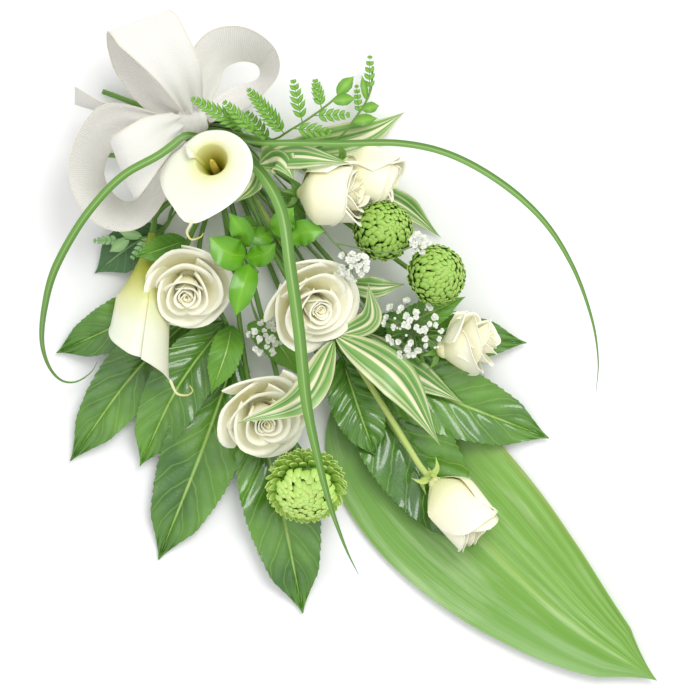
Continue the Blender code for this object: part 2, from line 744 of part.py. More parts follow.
LONG_LEAVES = {
    "aspidistra_leaf": dict(
        slot="aspidistra", finish=ASPIDISTRA_GREEN, stalk=2.0, width=126, across=4, along=10,
        peak=0.34, power=0.72, fold=0.05,
        blade=[(-22, -20, 4), (-28, -75, 1.6), (-32, -130, 0.35), (-32.5, -180, 0.35), (-31, -230, 0.35),
               (-26, -285, 2.5), (-13, -351, 8)],
        line=[(-13, 50, 5)]),
    "laurel_leaf": dict(
        slot="laurel", finish=LAUREL_GREEN, stalk=1.4, width=34, across=2, along=6,
        peak=0.5, power=0.8, fold=0.15,
        blade=[(-34, 170, 6), (-64, 178, 10), (-98, 183, 3)], line=[(-14, 177, 4)]),
    "dracaena_leaf_4": dict(
        slot="dracaena_d", finish=DRACAENA_STRIPED, stalk=1.4, width=26, across=2, along=6,
        peak=0.45, power=0.8, fold=0.25,
        blade=[(76, 148, 10), (104, 124, 15), (132, 108, 14), (161, 101, 1)], line=[(60, 166, 6)]),
    "dracaena_leaf_5": dict(
        slot="dracaena_e", finish=DRACAENA_STRIPED, stalk=1.4, width=24, across=2, along=6,
        peak=0.45, power=0.8, fold=0.25,
        blade=[(16, 2, 20), (20, -36, 26), (33, -92, 20)], line=[(20, 60, 8)]),
    "dracaena_leaf_6": dict(
        slot="dracaena_f", finish=DRACAENA_STRIPED, stalk=1.4, width=18, across=2, along=6,
        peak=0.45, power=0.8, fold=0.25,
        blade=[(88, 90, 8), (108, 55, 14), (112, 12, 4)], line=[(76, 120, 5)]),
}


def long_leaf(name):
    """Single leaf on its own stalk."""
    plan = LONG_LEAVES[name]
    tip_first = list(reversed(plan["blade"])) + plan["line"]
    line = stem_line(plan["slot"], tip_first, plan["stalk"])
    blade = leaf(plan["blade"], plan["width"], plan["across"], plan["along"], plan["peak"], plan["power"],
                 plan["fold"])
    base = np.array(plan["blade"][0], float)
    start = line.runs[np.argmin(np.linalg.norm(line.spots - base, axis=1))] - 8
    whole = join(name, [blade, stem(line, plan["stalk"], 4, start)], plan["finish"])
    lay([whole], line)


# Shoots: a stem with several leaves, each from its base through its middle to its tip
SHOOTS = {
    "glossy_spray_1": dict(
        slot="glossy_1", finish=GLOSSY_GREEN, radius=1.9, along=6, teeth=0.13,
        line=[(-84, 22, 8), (-68, 50, 9), (-54, 82, 9), (-44, 110, 8), (-26, 140, 6)],
        leaves=[([(-46, 116, 8), (-105, 138, 16), (-163, 160, 3)], 42),
                ([(-48, 104, 8), (-130, 106, 11), (-215, 93, 4)], 50),
                ([(-53, 84, 9), (-115, 74, 20), (-179, 52, 7)], 48),
                ([(-62, 62, 9), (-135, 27, 9), (-221, -10, 0.8)], 62),
                ([(-82, 26, 8), (-120, -42, 13), (-171, -119, 1.5)], 60)]),
    "glossy_spray_2": dict(
        slot="glossy_2", finish=GLOSSY_GREEN, radius=1.9, along=6, teeth=0.13,
        line=[(-14, -20, 10), (-8, 2, 10), (4, 50, 8)],
        leaves=[([(-13, -14, 10), (-24, -95, 11), (-41, -176, 7)], 70),
                ([(-6, 2, 10), (26, -78, 17), (61, -158, 4)], 58),
                ([(-3, 14, 9), (54, -38, 21), (101, -93, 5)], 42),
                ([(-9, 0, 10), (-28, -38, 22), (-44, -72, 19)], 42)]),
    "dracaena_shoot_1": dict(
        slot="dracaena_a", finish=DRACAENA_STRIPED, radius=1.6, along=6, teeth=0.0,
        line=[(-2, 12, 36), (4, 50, 28)],
        leaves=[([(-4, 14, 38), (-52, 0, 70), (-100, 21, 84)], 25),
                ([(0, 16, 38), (10, -40, 50), (-3, -102, 36)], 31),
                ([(2, 14, 38), (28, 6, 46), (46, 26, 58)], 18)]),
    "dracaena_shoot_2": dict(
        slot="dracaena_b", finish=DRACAENA_STRIPED, radius=1.5, along=6, teeth=0.0,
        line=[(34, 36, 30), (34, 80, 20)],
        leaves=[([(34, 38, 30), (48, 20, 38), (66, 6, 34)], 17)]),
    "dracaena_shoot_3": dict(
        slot="dracaena_c", finish=DRACAENA_STRIPED, radius=1.6, along=5, teeth=0.0,
        line=[(52, 150, 48)],
        leaves=[([(52, 150, 52), (66, 142, 66), (62, 122, 68)], 26),
                ([(50, 152, 50), (36, 144, 62), (17, 142, 60)], 18),
                ([(54, 150, 50), (76, 134, 70), (101, 101, 74)], 20)]),
    "ruscus_shoot_1": dict(
        slot="ruscus_a", finish=RUSCUS_GREEN, radius=1.3, along=3, teeth=0.0,
        line=[(-8, 92, 62), (-6, 108, 54), (2, 135, 30)],
        leaves=[([(-6, 108, 54), (-13, 118, 70), (-15, 138, 70)], 25),
                ([(-3, 118, 48), (5, 122, 66), (9, 140, 70)], 18),
                ([(-7, 100, 58), (-24, 92, 70), (-44, 80, 66)], 20),
                ([(-6, 106, 55), (6, 98, 70), (18, 98, 76)], 17)]),
    "ruscus_shoot_2": dict(
        slot="ruscus_b", finish=RUSCUS_GREEN, radius=1.3, along=3, teeth=0.0,
        line=[(26, 92, 40), (22, 110, 32)],
        leaves=[([(24, 98, 44), (34, 106, 54), (47, 108, 56)], 19),
                ([(26, 92, 45), (39, 89, 54), (51, 78, 52)], 20),
                ([(22, 108, 40), (13, 110, 50), (4, 120, 52)], 15)]),
}

# Run of the stem that rises with its first leaves
SHOOT_HEAD_RUN = 20


def shoot(name):
    """Leafy stem."""
    plan = SHOOTS[name]
    line = stem_line(plan["slot"], plan["line"], plan["radius"])
    pieces = [stem(line, plan["radius"], 4)]
    for spots, width in plan["leaves"]:
        spots = [on_stem(line, spots[0])] + spots[1:]
        pieces.append(leaf(spots, width, 2, plan["along"], 0.45, 0.8, 0.2, plan["teeth"], thickness=0.8))
    lay([join(name, pieces, plan["finish"])], line, head_run=SHOOT_HEAD_RUN)


# Fern fronds: rachis from its tip to the bundle, and pinnae from their base to their tip
FERNS = {
    "fern_frond_1": dict(
        slot="fern_a", open_run=95,
        line=[(149, 146, 50), (130, 145, 54), (111, 147, 56), (88, 152, 54), (70, 160, 40)],
        pinnae=[((82, 154, 53), (86, 197, 84), 22), ((98, 150, 55), (116, 178, 64), 18),
                ((70, 158, 46), (73, 186, 68), 18), ((116, 147, 56), (128, 166, 58), 15),
                ((90, 151, 55), (108, 128, 54), 20), ((108, 147, 56), (128, 128, 52), 16),
                ((126, 145, 55), (140, 134, 50), 12), ((132, 146, 54), (151, 147, 49), 13)]),
    "fern_frond_2": dict(
        slot="fern_b", open_run=0,
        line=[(168, 143, 22), (152, 130, 28), (130, 124, 32), (109, 123, 28), (80, 140, 16)],
        pinnae=[((126, 124, 32), (142, 112, 26), 12), ((138, 125, 31), (150, 118, 25), 11),
                ((134, 124, 31), (149, 142, 26), 8), ((146, 128, 29), (157, 144, 24), 7),
                ((152, 131, 28), (173, 151, 20), 12)]),
    "fern_frond_3": dict(
        slot="fern_c", open_run=0,
        line=[(-76, 196, 18), (-60, 182, 24), (-40, 168, 24), (-16, 172, 12)],
        pinnae=[((-52, 176, 25), (-62, 192, 20), 10), ((-60, 182, 24), (-78, 186, 16), 12),
                ((-46, 172, 25), (-70, 170, 18), 12), ((-66, 187, 22), (-81, 201, 14), 10)]),
    "fern_frond_4": dict(
        slot="fern_d", open_run=40,
        line=[(68, 152, 68), (66, 166, 70), (63, 182, 54)],
        pinnae=[((64, 176, 62), (50, 222, 90), 22), ((66, 168, 69), (66, 203, 84), 18)]),
}
PINNA_ROWS = 4
FROND_HEAD_RUN = 10


def pinna(base, tip, width):
    """Flat pinna with forward teeth down both edges."""
    base = np.array(base, float)
    way = np.array(tip, float) - base
    side = unit(np.cross(way, (0, 0, 1)))
    tooth = 0.6 * np.linalg.norm(way) / PINNA_ROWS

    def place(u, v):
        k = round(v * PINNA_ROWS)
        half = width / 2 * (1 - v) ** 0.6 * min(1, 0.1 + 3.2 * v) + 0.5
        half *= 0.45 if k % 2 == 0 and 0 < k < PINNA_ROWS else 1
        forward = tooth if k % 2 else 0
        arch = np.array((0, 0, 3.0 * math.sin(math.pi * v)))
        return base + way * v * 0.94 + unit(way) * forward * abs(u) + side * u * half + arch

    return sheet(1, PINNA_ROWS, place, 0.7)


def fern(name):
    """Frond of toothed pinnae on both sides of a thin rachis."""
    plan = FERNS[name]
    line = stem_line(plan["slot"], plan["line"], RACHIS)
    pieces = [stem(line, RACHIS, 4)]
    for base, tip, width in plan["pinnae"]:
        pieces.append(pinna(on_stem(line, base), tip, width))
    lay([join(name, pieces, FERN_GREEN)], line, head_run=FROND_HEAD_RUN,
        open_run=plan["open_run"])


# Lily grass: width, and the line of each blade from its tip to the bundle
GRASSES = {
    "lily_grass_1": dict(
        slot="grass_a", width=6, open_run=395,
        line=[(-145, 132, 26), (-155, 130, 16), (-168, 133, 16), (-175, 142, 24), (-173, 156, 42),
              (-162, 172, 68), (-142, 187, 94), (-116, 201, 112), (-81, 211, 122), (-50, 215, 124),
              (-25, 214, 124), (0, 207, 120), (14, 205, 112), (22, 205, 96), (28, 204, 76), (33, 199, 54),
              (39, 188, 38)]),
    "lily_grass_2": dict(
        slot="grass_b", width=9, open_run=0,
        line=[(-118, -127, 34), (-110, -105, 50), (-94, -72, 78), (-73, -37, 94), (-51, -4, 104),
              (-16, 39, 108), (12, 76, 108), (37, 110, 100), (47, 140, 82), (47, 166, 46)]),
    "lily_grass_3": dict(
        slot="grass_c", width=5, open_run=0,
        line=[(112, -158, 22), (130, -141, 40), (148, -115, 60), (165, -77, 78), (174, -36, 88),
              (172, 7, 90), (160, 50, 90), (139, 84, 88), (106, 117, 86), (82, 142, 84), (66, 158, 80),
              (57, 172, 56)]),
}


def grass(name):
    """Long narrow blade that arches over the flowers."""
    plan = GRASSES[name]
    line = stem_line(plan["slot"], plan["line"], GRASS_THICK / 2)
    steps = len(line.knots) - 1
    spots = points_at(line, line.knots)
    way = np.gradient(spots, axis=0)

    def place(u, v):
        k = round(v * steps)
        side = unit(np.cross(way[k], (0, 0, 1)))
        half = plan["width"] / 2 * min(1, 0.12 + 2.6 * v) * (1 if v < 0.7 else max(0.45, 1 - 2.2 * (v - 0.7)))
        return spots[k] + side * u * half

    blade = sheet(1, steps, place, GRASS_THICK)
    lay([join(name, [blade], GRASS_GREEN)], line, open_run=plan["open_run"])


# Ribbon bow: the middle of its gathers and its loops. Each station is the ribbon's middle and the
# half width vector toward its edge
BOW_KNOT = (37, 211, 49)
BOW_LOOPS = {
    "top": [((40, 214, 41), (9, -3, 0)), ((34, 240, 44), (20, -6, 0)), ((44, 272, 50), (25, -9, 0)),
            ((60, 290, 66), (23, -11, 0)), ((64, 291, 88), (22, -10, 0)), ((62, 268, 100), (24, -8, 2)),
            ((57, 240, 90), (20, -7, 2)), ((46, 216, 58), (8, -3, 0))],
    "right": [((46, 212, 50), (1, 7, 4)), ((68, 228, 58), (2, 14, 12)), ((90, 235, 62), (4, 16, 15)),
              ((108, 224, 60), (10, 8, 19)), ((114, 205, 54), (8, -3, 22)), ((103, 193, 50), (2, -8, 20)),
              ((78, 198, 47), (0, -11, 14)), ((48, 208, 46), (0, -6, 5))],
    "left": [((30, 214, 44), (3, 7, 2)), ((2, 248, 52), (3, 16, 16)), ((-24, 253, 54), (-3, 13, 20)),
             ((-48, 240, 52), (-10, 8, 20)), ((-57, 216, 50), (-13, -1, 20)), ((-50, 196, 48), (-8, -9, 20)),
             ((-28, 190, 46), (-2, -10, 18)), ((24, 206, 43), (2, -7, 3))],
    "centre": [((26, 210, 50), (4, 7, 1)), ((6, 214, 62), (8, 20, 4)), ((-14, 218, 76), (9, 22, 5)),
               ((-26, 220, 94), (9, 22, 6)), ((-16, 219, 108), (9, 23, 6)), ((8, 219, 102), (6, 18, 5)),
               ((31, 216, 68), (4, 8, 2))],
    "tail": [((34, 212, 42), (4, 5, 2)), ((10, 244, 42), (3, 2, 12)), ((-4, 270, 46), (4, 3, 13)),
             ((-11, 289, 54), (5, 4, 12))],
}
BOW_STEPS = 11


def bow():
    """Ribbon folded into four loops and a tail, gathered at the tie, and its wrapped knot."""
    pieces = [ball(BOW_KNOT, (15, 11, 11), 8, 5)]
    for name, stations in BOW_LOOPS.items():
        steps = BOW_STEPS if name != "tail" else 4
        middles = smooth([spot for spot, _ in stations], steps + 1)
        halves = smooth([half for _, half in stations], steps + 1)

        def place(u, v, middles=middles, halves=halves, steps=steps):
            k = round(v * steps)
            return middles[k] + halves[k] * u

        pieces.append(sheet(2, steps, place, RIBBON_THICK))
    return join("bow_ribbon", pieces, RIBBON_WHITE)


def binding(top):
    """Flat band round the stems, with a flat underside that lies on the surface."""
    wide = BAND_HALF
    low = TIE_THICK
    tall = (top + CLEAR - low) / 2
    form = bmesh.new()
    bmesh.ops.create_cone(form, cap_ends=False, segments=28, radius1=1, radius2=1, depth=TIE_WIDTH)
    for vert in form.verts:
        c, s = vert.co.x, vert.co.y
        square = 0.2 if s < 0 else 0.5
        across = math.copysign(abs(c) ** square, c) * wide
        height = math.copysign(abs(s) ** square, s) * tall
        if height < -0.98 * tall:
            height = -tall
        spot = TIE + SIDE * across + BACK * vert.co.z
        vert.co = Vector((*spot, low + tall + height)) * MM
    band = as_object("band", form)
    shell = band.modifiers.new("Thickness", "SOLIDIFY")
    shell.thickness = TIE_THICK * MM
    shell.offset = -1
    shell.use_even_offset = True
    return join("binding_tie", [settle(band)], TIE_CORD)


# The band's own floor, on which the lowest row lies
band_runs, band_sides = np.meshgrid(np.arange(-TIE_WIDTH / 2 - 1, TIE_WIDTH / 2 + 1, SAMPLE),
                                    np.arange(-BAND_HALF, BAND_HALF, SAMPLE))
band_spots = TIE + band_runs.reshape(-1, 1) * BACK + band_sides.reshape(-1, 1) * SIDE
record(np.column_stack([band_spots, np.full(len(band_spots), TIE_THICK)]))

# The sheaf is laid from the bottom up, as it lies on its back, one row of the bundle after another
long_leaf("aspidistra_leaf")
shoot("glossy_spray_1")
shoot("glossy_spray_2")
long_leaf("laurel_leaf")
long_leaf("dracaena_leaf_5")
long_leaf("dracaena_leaf_6")
long_leaf("dracaena_leaf_4")
fern("fern_frond_2")

fern("fern_frond_3")
calla("calla_2")
rose("rose_7")
rose("rose_6")
rose("rose_5")

mum("mum_3")
rose("rose_3")
shoot("dracaena_shoot_2")
mum("mum_2")
gypsophila("gypsophila_3")
fern("fern_frond_1")

rose("rose_1")
gypsophila("gypsophila_2")
mum("mum_1")
gypsophila("gypsophila_1")
rose("rose_4")

shoot("dracaena_shoot_1")
rose("rose_2")
shoot("ruscus_shoot_2")
shoot("ruscus_shoot_1")
shoot("dracaena_shoot_3")
calla("calla_1")
fern("fern_frond_4")

grass("lily_grass_3")
grass("lily_grass_2")
grass("lily_grass_1")

spots, faces = read(binding(max(tie_tops)))
record(spread(spots[faces]))
lay([bow()])

for piece in sheaf.objects:
    spots, _ = read(piece)
    write(piece, spots - MIDDLE)
    piece.data.shade_smooth()
    piece.data.set_sharp_from_angle(angle=math.radians(40))
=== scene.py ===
"""Dressed model of a tied sympathy sheaf of white and green flowers, lying on a pale table.

Sizes in this file are millimetres on the maker's layout, in which the tie is at (31, 202). The
function world() takes them to metres in the frame.
"""
import math

import bpy
import numpy as np
from mathutils import Matrix, Vector

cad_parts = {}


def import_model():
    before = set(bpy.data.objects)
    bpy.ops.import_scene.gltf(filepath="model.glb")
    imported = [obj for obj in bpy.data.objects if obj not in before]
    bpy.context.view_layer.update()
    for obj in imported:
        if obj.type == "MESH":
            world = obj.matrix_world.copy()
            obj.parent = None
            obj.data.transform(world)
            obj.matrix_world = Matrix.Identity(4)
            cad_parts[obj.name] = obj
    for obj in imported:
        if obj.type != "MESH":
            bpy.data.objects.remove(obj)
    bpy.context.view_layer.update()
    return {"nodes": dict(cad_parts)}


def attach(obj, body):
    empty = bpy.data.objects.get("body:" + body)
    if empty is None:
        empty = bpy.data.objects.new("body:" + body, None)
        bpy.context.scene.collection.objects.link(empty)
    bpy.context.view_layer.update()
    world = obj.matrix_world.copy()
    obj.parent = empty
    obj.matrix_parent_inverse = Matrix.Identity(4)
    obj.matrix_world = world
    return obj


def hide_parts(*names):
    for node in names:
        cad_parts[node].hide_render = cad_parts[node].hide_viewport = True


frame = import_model()
chance = np.random.default_rng(5)


# Table, light and camera. The sheaf lies on a plain white laminate table under soft light from one side,
# and is seen from straight above through a long lens, turned so that the tie is at the upper left.

LAYOUT_SHIFT = np.array([22.35, 24.37, 0.0])
PICTURE_SPAN = 546.0
CAMERA_HEIGHT = 4000.0
SENSOR = 36.0
# Half the table's width and how far its top lies under the sheaf, in metres
TABLE_HALF = 4.0
TABLE_DROP = 0.0004
DAYLIGHT = 0.86
# Name, place, width and power of each lamp, in metres and watts
LAMPS = (
    ("soft_window", (1.2, 0.3, 2.1), 1.2, 23.0),
    ("overhead_panel", (0.2, 0.0, 2.6), 2.4, 6.0),
)


def world(points):
    """Layout millimetres to metres in the frame."""
    return (np.asarray(points, float) + LAYOUT_SHIFT) * 0.001


def linear(code):
    """sRGB hex colour as linear RGBA."""
    shares = [int(code[k:k + 2], 16) / 255 for k in (1, 3, 5)]
    return (*[c / 12.92 if c <= 0.04045 else ((c + 0.055) / 1.055) ** 2.4 for c in shares], 1.0)


def add(tree, kind, wires=None, stops=(), **settings):
    """Add a shader node with its properties, socket values, colour stops and links."""
    node = tree.nodes.new(kind)
    for name, value in settings.items():
        if name[0] == "_":
            node.inputs[int(name[1:])].default_value = value
        elif name[0].isupper():
            node.inputs[name.replace("_", " ")].default_value = value
        else:
            setattr(node, name, value)
    for k, (spot, colour) in enumerate(stops):
        ramp = node.color_ramp.elements
        mark = ramp[k] if k < 2 else ramp.new(spot)
        mark.position = spot
        mark.color = linear(colour) if isinstance(colour, str) else (colour, colour, colour, 1)
    for name, socket in (wires or {}).items():
        tree.links.new(socket, node.inputs[name])
    return node


def new_finish(name, **settings):
    """A material of one Principled shader, whose constants go on its own sockets."""
    finish = bpy.data.materials.new(name)
    finish.use_nodes = True
    tree = finish.node_tree
    tree.nodes.clear()
    shader = add(tree, "ShaderNodeBsdfPrincipled", **settings)
    add(tree, "ShaderNodeOutputMaterial", {"Surface": shader.outputs[0]})
    return finish, tree, shader


# White laminate: pressed smooth and matt, so an even, bright face with hardly any gloss
table_finish, tree, shader = new_finish("white laminate table", Roughness=0.7)
mottle = add(tree, "ShaderNodeTexNoise", Scale=3.0, Detail=2.0)
tint = add(tree, "ShaderNodeValToRGB", {"Fac": mottle.outputs["Fac"]}, [(0.3, "#FAFAFB"), (0.7, "#FDFDFD")])
tree.links.new(tint.outputs["Color"], shader.inputs["Base Color"])
table_mesh = bpy.data.meshes.new("table_top")
corners = [(x * TABLE_HALF, y * TABLE_HALF, -TABLE_DROP) for x, y in ((-1, -1), (1, -1), (1, 1), (-1, 1))]
table_mesh.from_pydata(corners, [], [(0, 1, 2, 3)])
table = bpy.data.objects.new("table_top", table_mesh)
table_mesh.materials.append(table_finish)
bpy.context.scene.collection.objects.link(table)

room = bpy.data.worlds.new("white studio")
room.use_nodes = True
room.node_tree.nodes["Background"].inputs["Color"].default_value = (1.0, 1.0, 1.0, 1.0)
room.node_tree.nodes["Background"].inputs["Strength"].default_value = DAYLIGHT
bpy.context.scene.world = room
bpy.context.scene.view_settings.view_transform = "Standard"

for name, place, size, watts in LAMPS:
    lamp = bpy.data.lights.new(name, "AREA")
    lamp.shape = "DISK"
    lamp.size = size
    lamp.energy = watts
    holder = bpy.data.objects.new(name, lamp)
    holder.location = place
    holder.rotation_euler = (-Vector(place)).to_track_quat("-Z", "Y").to_euler()
    bpy.context.scene.collection.objects.link(holder)

lens = bpy.data.cameras.new("camera")
lens.sensor_width = SENSOR
lens.lens = SENSOR * CAMERA_HEIGHT / PICTURE_SPAN
lens.clip_end = 20.0
camera = bpy.data.objects.new("camera", lens)
camera.location = world((0, 0, CAMERA_HEIGHT))
camera.rotation_euler = (0.0, 0.0, math.radians(-45))
bpy.context.scene.collection.objects.link(camera)
bpy.context.scene.camera = camera


# Flower stems. Every stem in the bundle starts at its bloom or leaf, runs under the flowers, and is
# gathered at the tie, past which it fans out to its cut end. Here are the lines that they follow.

TIE = np.array([31.0, 202.0])
BACK = np.array([-0.5, 0.866])
SIDE = np.array([0.866, 0.5])
# Run past the tie over which the bundle doubles its width
SPLAY = 90.0
TIE_THICK = 0.8
CLEAR = 0.3
# Spacing of the stems at the tie, across the bundle and from row to row
ROW_PITCH = 6.0
ROW_RISE = 4.0
# The stems come together this far before the tie
FRONT_RUN = 24.0
# Places where the CAD stem's height is read: one by its head, then every ring
RING_STEP = 34.0
HEAD_STEP = 9.0
# Row of the bundle, and in each the stems with their place across it and their reach past the tie
BUNDLE = (
    (("laurel", -3, 44), ("glossy_1", -2, 52), ("aspidistra", -1, 58), ("glossy_2", 0, 50),
     ("dracaena_e", 1, 40), ("dracaena_f", 2, 44), ("fern_b", 3, 46)),
    (("fern_c", -2.5, 48), ("calla_2", -1.5, 86), ("rose_7", -0.5, 60), ("rose_6", 0.5, 54),
     ("rose_5", 1.5, 79), ("dracaena_d", 2.5, 42)),
    (("rose_3", -3, 65), ("mum_3", -2, 86), ("dracaena_b", -1, 42), ("gypsophila_3", 0, 45),
     ("mum_2", 1, 50), ("gypsophila_1", 2, 44), ("fern_a", 3, 48)),
    (("rose_1", -2.5, 52), ("gypsophila_2", -1.5, 40), ("mum_1", 0.5, 54), ("rose_4", 1.5, 72)),
    (("ruscus_a", -2.5, 38), ("dracaena_a", -1.5, 40), ("rose_2", -0.5, 52), ("ruscus_b", 0.5, 44),
     ("dracaena_c", 1.5, 44), ("fern_d", 2.5, 38)),
    (("calla_1", -1.5, 46), ("grass_a", -0.5, 30), ("grass_b", 0.5, 32), ("grass_c", 1.5, 30)),
)
SLOTS = {name: (row, slot, reach) for row, stems in enumerate(BUNDLE) for name, slot, reach in stems}


def smooth(points, count):
    """Points spread evenly on a smooth curve through given points."""
    p = np.asarray(points, float)
    p = np.vstack([2 * p[0] - p[1], p, 2 * p[-1] - p[-2]])
    steps = np.linspace(0, 1, 14, endpoint=False)[:, None]
    runs = []
    for a, b, c, d in zip(p, p[1:], p[2:], p[3:]):
        cubic = (3 * b - a - 3 * c + d) * steps ** 3
        runs.append(0.5 * (2 * b + (c - a) * steps + (2 * a - 5 * b + 4 * c - d) * steps ** 2 + cubic))
    return evenly(np.vstack(runs + [p[-2:-1]]), count)


def measure(line):
    """Run along a line at each of its points."""
    return np.r_[0, np.cumsum(np.linalg.norm(np.diff(line, axis=0), axis=1))]


def at_runs(line, runs):
    """Points of a line at given runs along it."""
    length = measure(line)
    return np.stack([np.interp(runs, length, line[:, k]) for k in range(3)], axis=1)


def evenly(line, count):
    """A line again, as a count of points with even steps."""
    return at_runs(line, np.linspace(0, measure(line)[-1], count))


def unit(vector):
    vector = np.asarray(vector, float)
    return vector / np.linalg.norm(vector)


clouds = {}


def cloud(node):
    """Corners of a CAD node, on the layout."""
    if node not in clouds:
        mesh = frame["nodes"][node].data
        spots = np.empty(len(mesh.vertices) * 3)
        mesh.vertices.foreach_get("co", spots)
        clouds[node] = spots.reshape(-1, 3) * 1000 - LAYOUT_SHIFT
    return clouds[node]


def lift_at(node, spot, within=0.9, span=None):
    """How far the CAD node's corners round a spot stand above it, or None where it has none."""
    corners = cloud(node)
    near = corners[np.linalg.norm(corners[:, :2] - np.asarray(spot)[:2], axis=1) < within, 2]
    if not len(near):
        return None
    if span is None:
        return near.mean() - spot[2]
    near.sort()
    groups = [near[(near >= low) & (near <= low + span)] for low in near]
    best = max(groups, key=len)
    return (best[0] + best[-1]) / 2 - spot[2]


def filled(lifts):
    """Lifts at even steps, with the unknown ones taken from their neighbours."""
    known = [k for k, lift in enumerate(lifts) if lift is not None]
    if not known:
        return np.zeros(len(lifts))
    return np.interp(range(len(lifts)), known, [lifts[k] for k in known])


def stem_line(node, slot, points, radius):
    """Line of a stem from its head or tip to its cut end, as high as the CAD stem lies."""
    row, place, reach = SLOTS[slot]
    low = TIE_THICK + CLEAR + radius + row * ROW_RISE
    spots = []
    for run in (-FRONT_RUN, 0.0, reach):
        spot = TIE + BACK * run + SIDE * place * ROW_PITCH * (1 + abs(run) / SPLAY)
        spots.append(np.array((*spot, low)))
    front, middle, end = spots
    free = smooth(list(points) + [front, middle], 200)
    free = free[:np.argmin(np.linalg.norm(free - front, axis=1))]
    at_front = measure(np.vstack([free, front]))[-1]
    line = np.vstack([free, front, middle, end])
    rings = np.linspace(0, at_front, max(3, round(at_front / RING_STEP) + 1))
    at_tie = at_front + math.dist(front, middle)
    knots = np.r_[0, HEAD_STEP, rings[1:], at_tie, measure(line)[-1]]
    knots = knots[np.r_[True, np.diff(knots) > 3]]
    centres = at_runs(line, knots)
    lifts = filled([lift_at(node, spot, radius + 0.6, 2 * radius + 0.4) for spot in centres])
    return line, knots, lifts


def raised(line, knots, lifts, runs):
    """Points of a stem's line at given runs, raised with it."""
    spots = at_runs(line, runs)
    spots[:, 2] += np.interp(runs, knots, lifts)
    return spots


def lift_near(line, knots, lifts, spot):
    """A stem's lift beside a spot of the layout."""
    nearest = np.argmin(np.linalg.norm(line - np.asarray(spot, float), axis=1))
    return np.interp(measure(line)[nearest], knots, lifts)


def as_shell(grid, thickness):
    """Corners, faces and blade coordinates of a thin closed blade on a grid of points."""
    rows, columns = grid.shape[:2]
    ahead = np.gradient(grid, axis=0)
    aside = np.gradient(grid, axis=1)
    normal = np.cross(aside, ahead)
    size = np.linalg.norm(normal, axis=2, keepdims=True)
    normal = normal / np.maximum(size, 1e-9) * thickness / 2
    spots = np.vstack([(grid + normal).reshape(-1, 3), (grid - normal).reshape(-1, 3)])
    v, u = np.meshgrid(np.linspace(0, 1, rows), np.linspace(0, 1, columns), indexing="ij")
    flat = np.stack([u, v], axis=2).reshape(-1, 2)
    index = np.arange(rows * columns).reshape(rows, columns)
    a, b, c, d = index[:-1, :-1], index[:-1, 1:], index[1:, 1:], index[1:, :-1]
    faces = [np.stack([a, b, c, d], axis=2).reshape(-1, 4)]
    lower = rows * columns
    faces.append(np.stack([d, c, b, a], axis=2).reshape(-1, 4) + lower)
    rim = np.concatenate([index[0, :], index[1:, -1], index[-1, -2::-1], index[-2:0:-1, 0]])
    onward = np.roll(rim, -1)
    faces.append(np.stack([rim, rim + lower, onward + lower, onward], axis=1))
    return spots, np.vstack(faces).tolist(), np.vstack([flat, flat])


def as_tube(line, radii, sides=10):
    """Corners, faces and blade coordinates of a round stem with closed ends."""
    line = np.asarray(line, float)
    radii = np.broadcast_to(np.asarray(radii, float), (len(line),))
    way = np.gradient(line, axis=0)
    spots = []
    first = np.array((0.0, 0.0, 1.0)) if abs(unit(way[0])[2]) < 0.9 else np.array((1.0, 0.0, 0.0))
    for place, ahead, radius in zip(line, way, radii):
        ahead = unit(ahead)
        first = unit(first - ahead * first.dot(ahead))
        second = np.cross(ahead, first)
        for k in range(sides):
            angle = 2 * math.pi * k / sides
            spots.append(place + (first * math.cos(angle) + second * math.sin(angle)) * radius)
    faces = []
    for k in range(len(line) - 1):
        for j in range(sides):
            near, far = k * sides + j, k * sides + (j + 1) % sides
            faces.append([near, far, far + sides, near + sides])
    last = len(spots)
    spots += [line[0], line[-1]]
    for j in range(sides):
        onward = (j + 1) % sides
        faces.append([onward, j, last])
        faces.append([last - sides + j, last - sides + onward, last + 1])
    share = measure(line) / max(measure(line)[-1], 1e-6)
    flat = [(j / sides, v) for v in share for j in range(sides)] + [(0.5, 0.0), (0.5, 1.0)]
    return np.array(spots), faces, np.array(flat)


def build(name, parts, finishes, nodes):
    """One piece from shells and tubes. Each part has its shape, the number of its finish and its tone."""
    spots, faces, flats, marks, tones = [], [], [], [], []
    count = 0
    for (corners, sides, flat), number, tone in parts:
        spots.append(corners)
        faces += [[k + count for k in face] for face in sides]
        flats.append(flat)
        marks += [number] * len(sides)
        tones.append(np.full(len(corners), tone))
        count += len(corners)
    mesh = bpy.data.meshes.new(name)
    mesh.from_pydata(world(np.vstack(spots)).tolist(), [], faces)
    mesh.update()
    flats = np.vstack(flats)
    owners = np.empty(len(mesh.loops), dtype=int)
    mesh.loops.foreach_get("vertex_index", owners)
    mesh.uv_layers.new(name="blade").data.foreach_set("uv", flats[owners].ravel())
    mesh.attributes.new("tone", "FLOAT", "POINT").data.foreach_set("value", np.concatenate(tones))
    mesh.polygons.foreach_set("material_index", marks)
    mesh.shade_smooth()
    mesh.set_sharp_from_angle(angle=math.radians(60))
    for finish in finishes:
        mesh.materials.append(finish)
    piece = bpy.data.objects.new(name, mesh)
    bpy.context.scene.collection.objects.link(piece)
    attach(piece, "root")
    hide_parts(*nodes)
    return piece


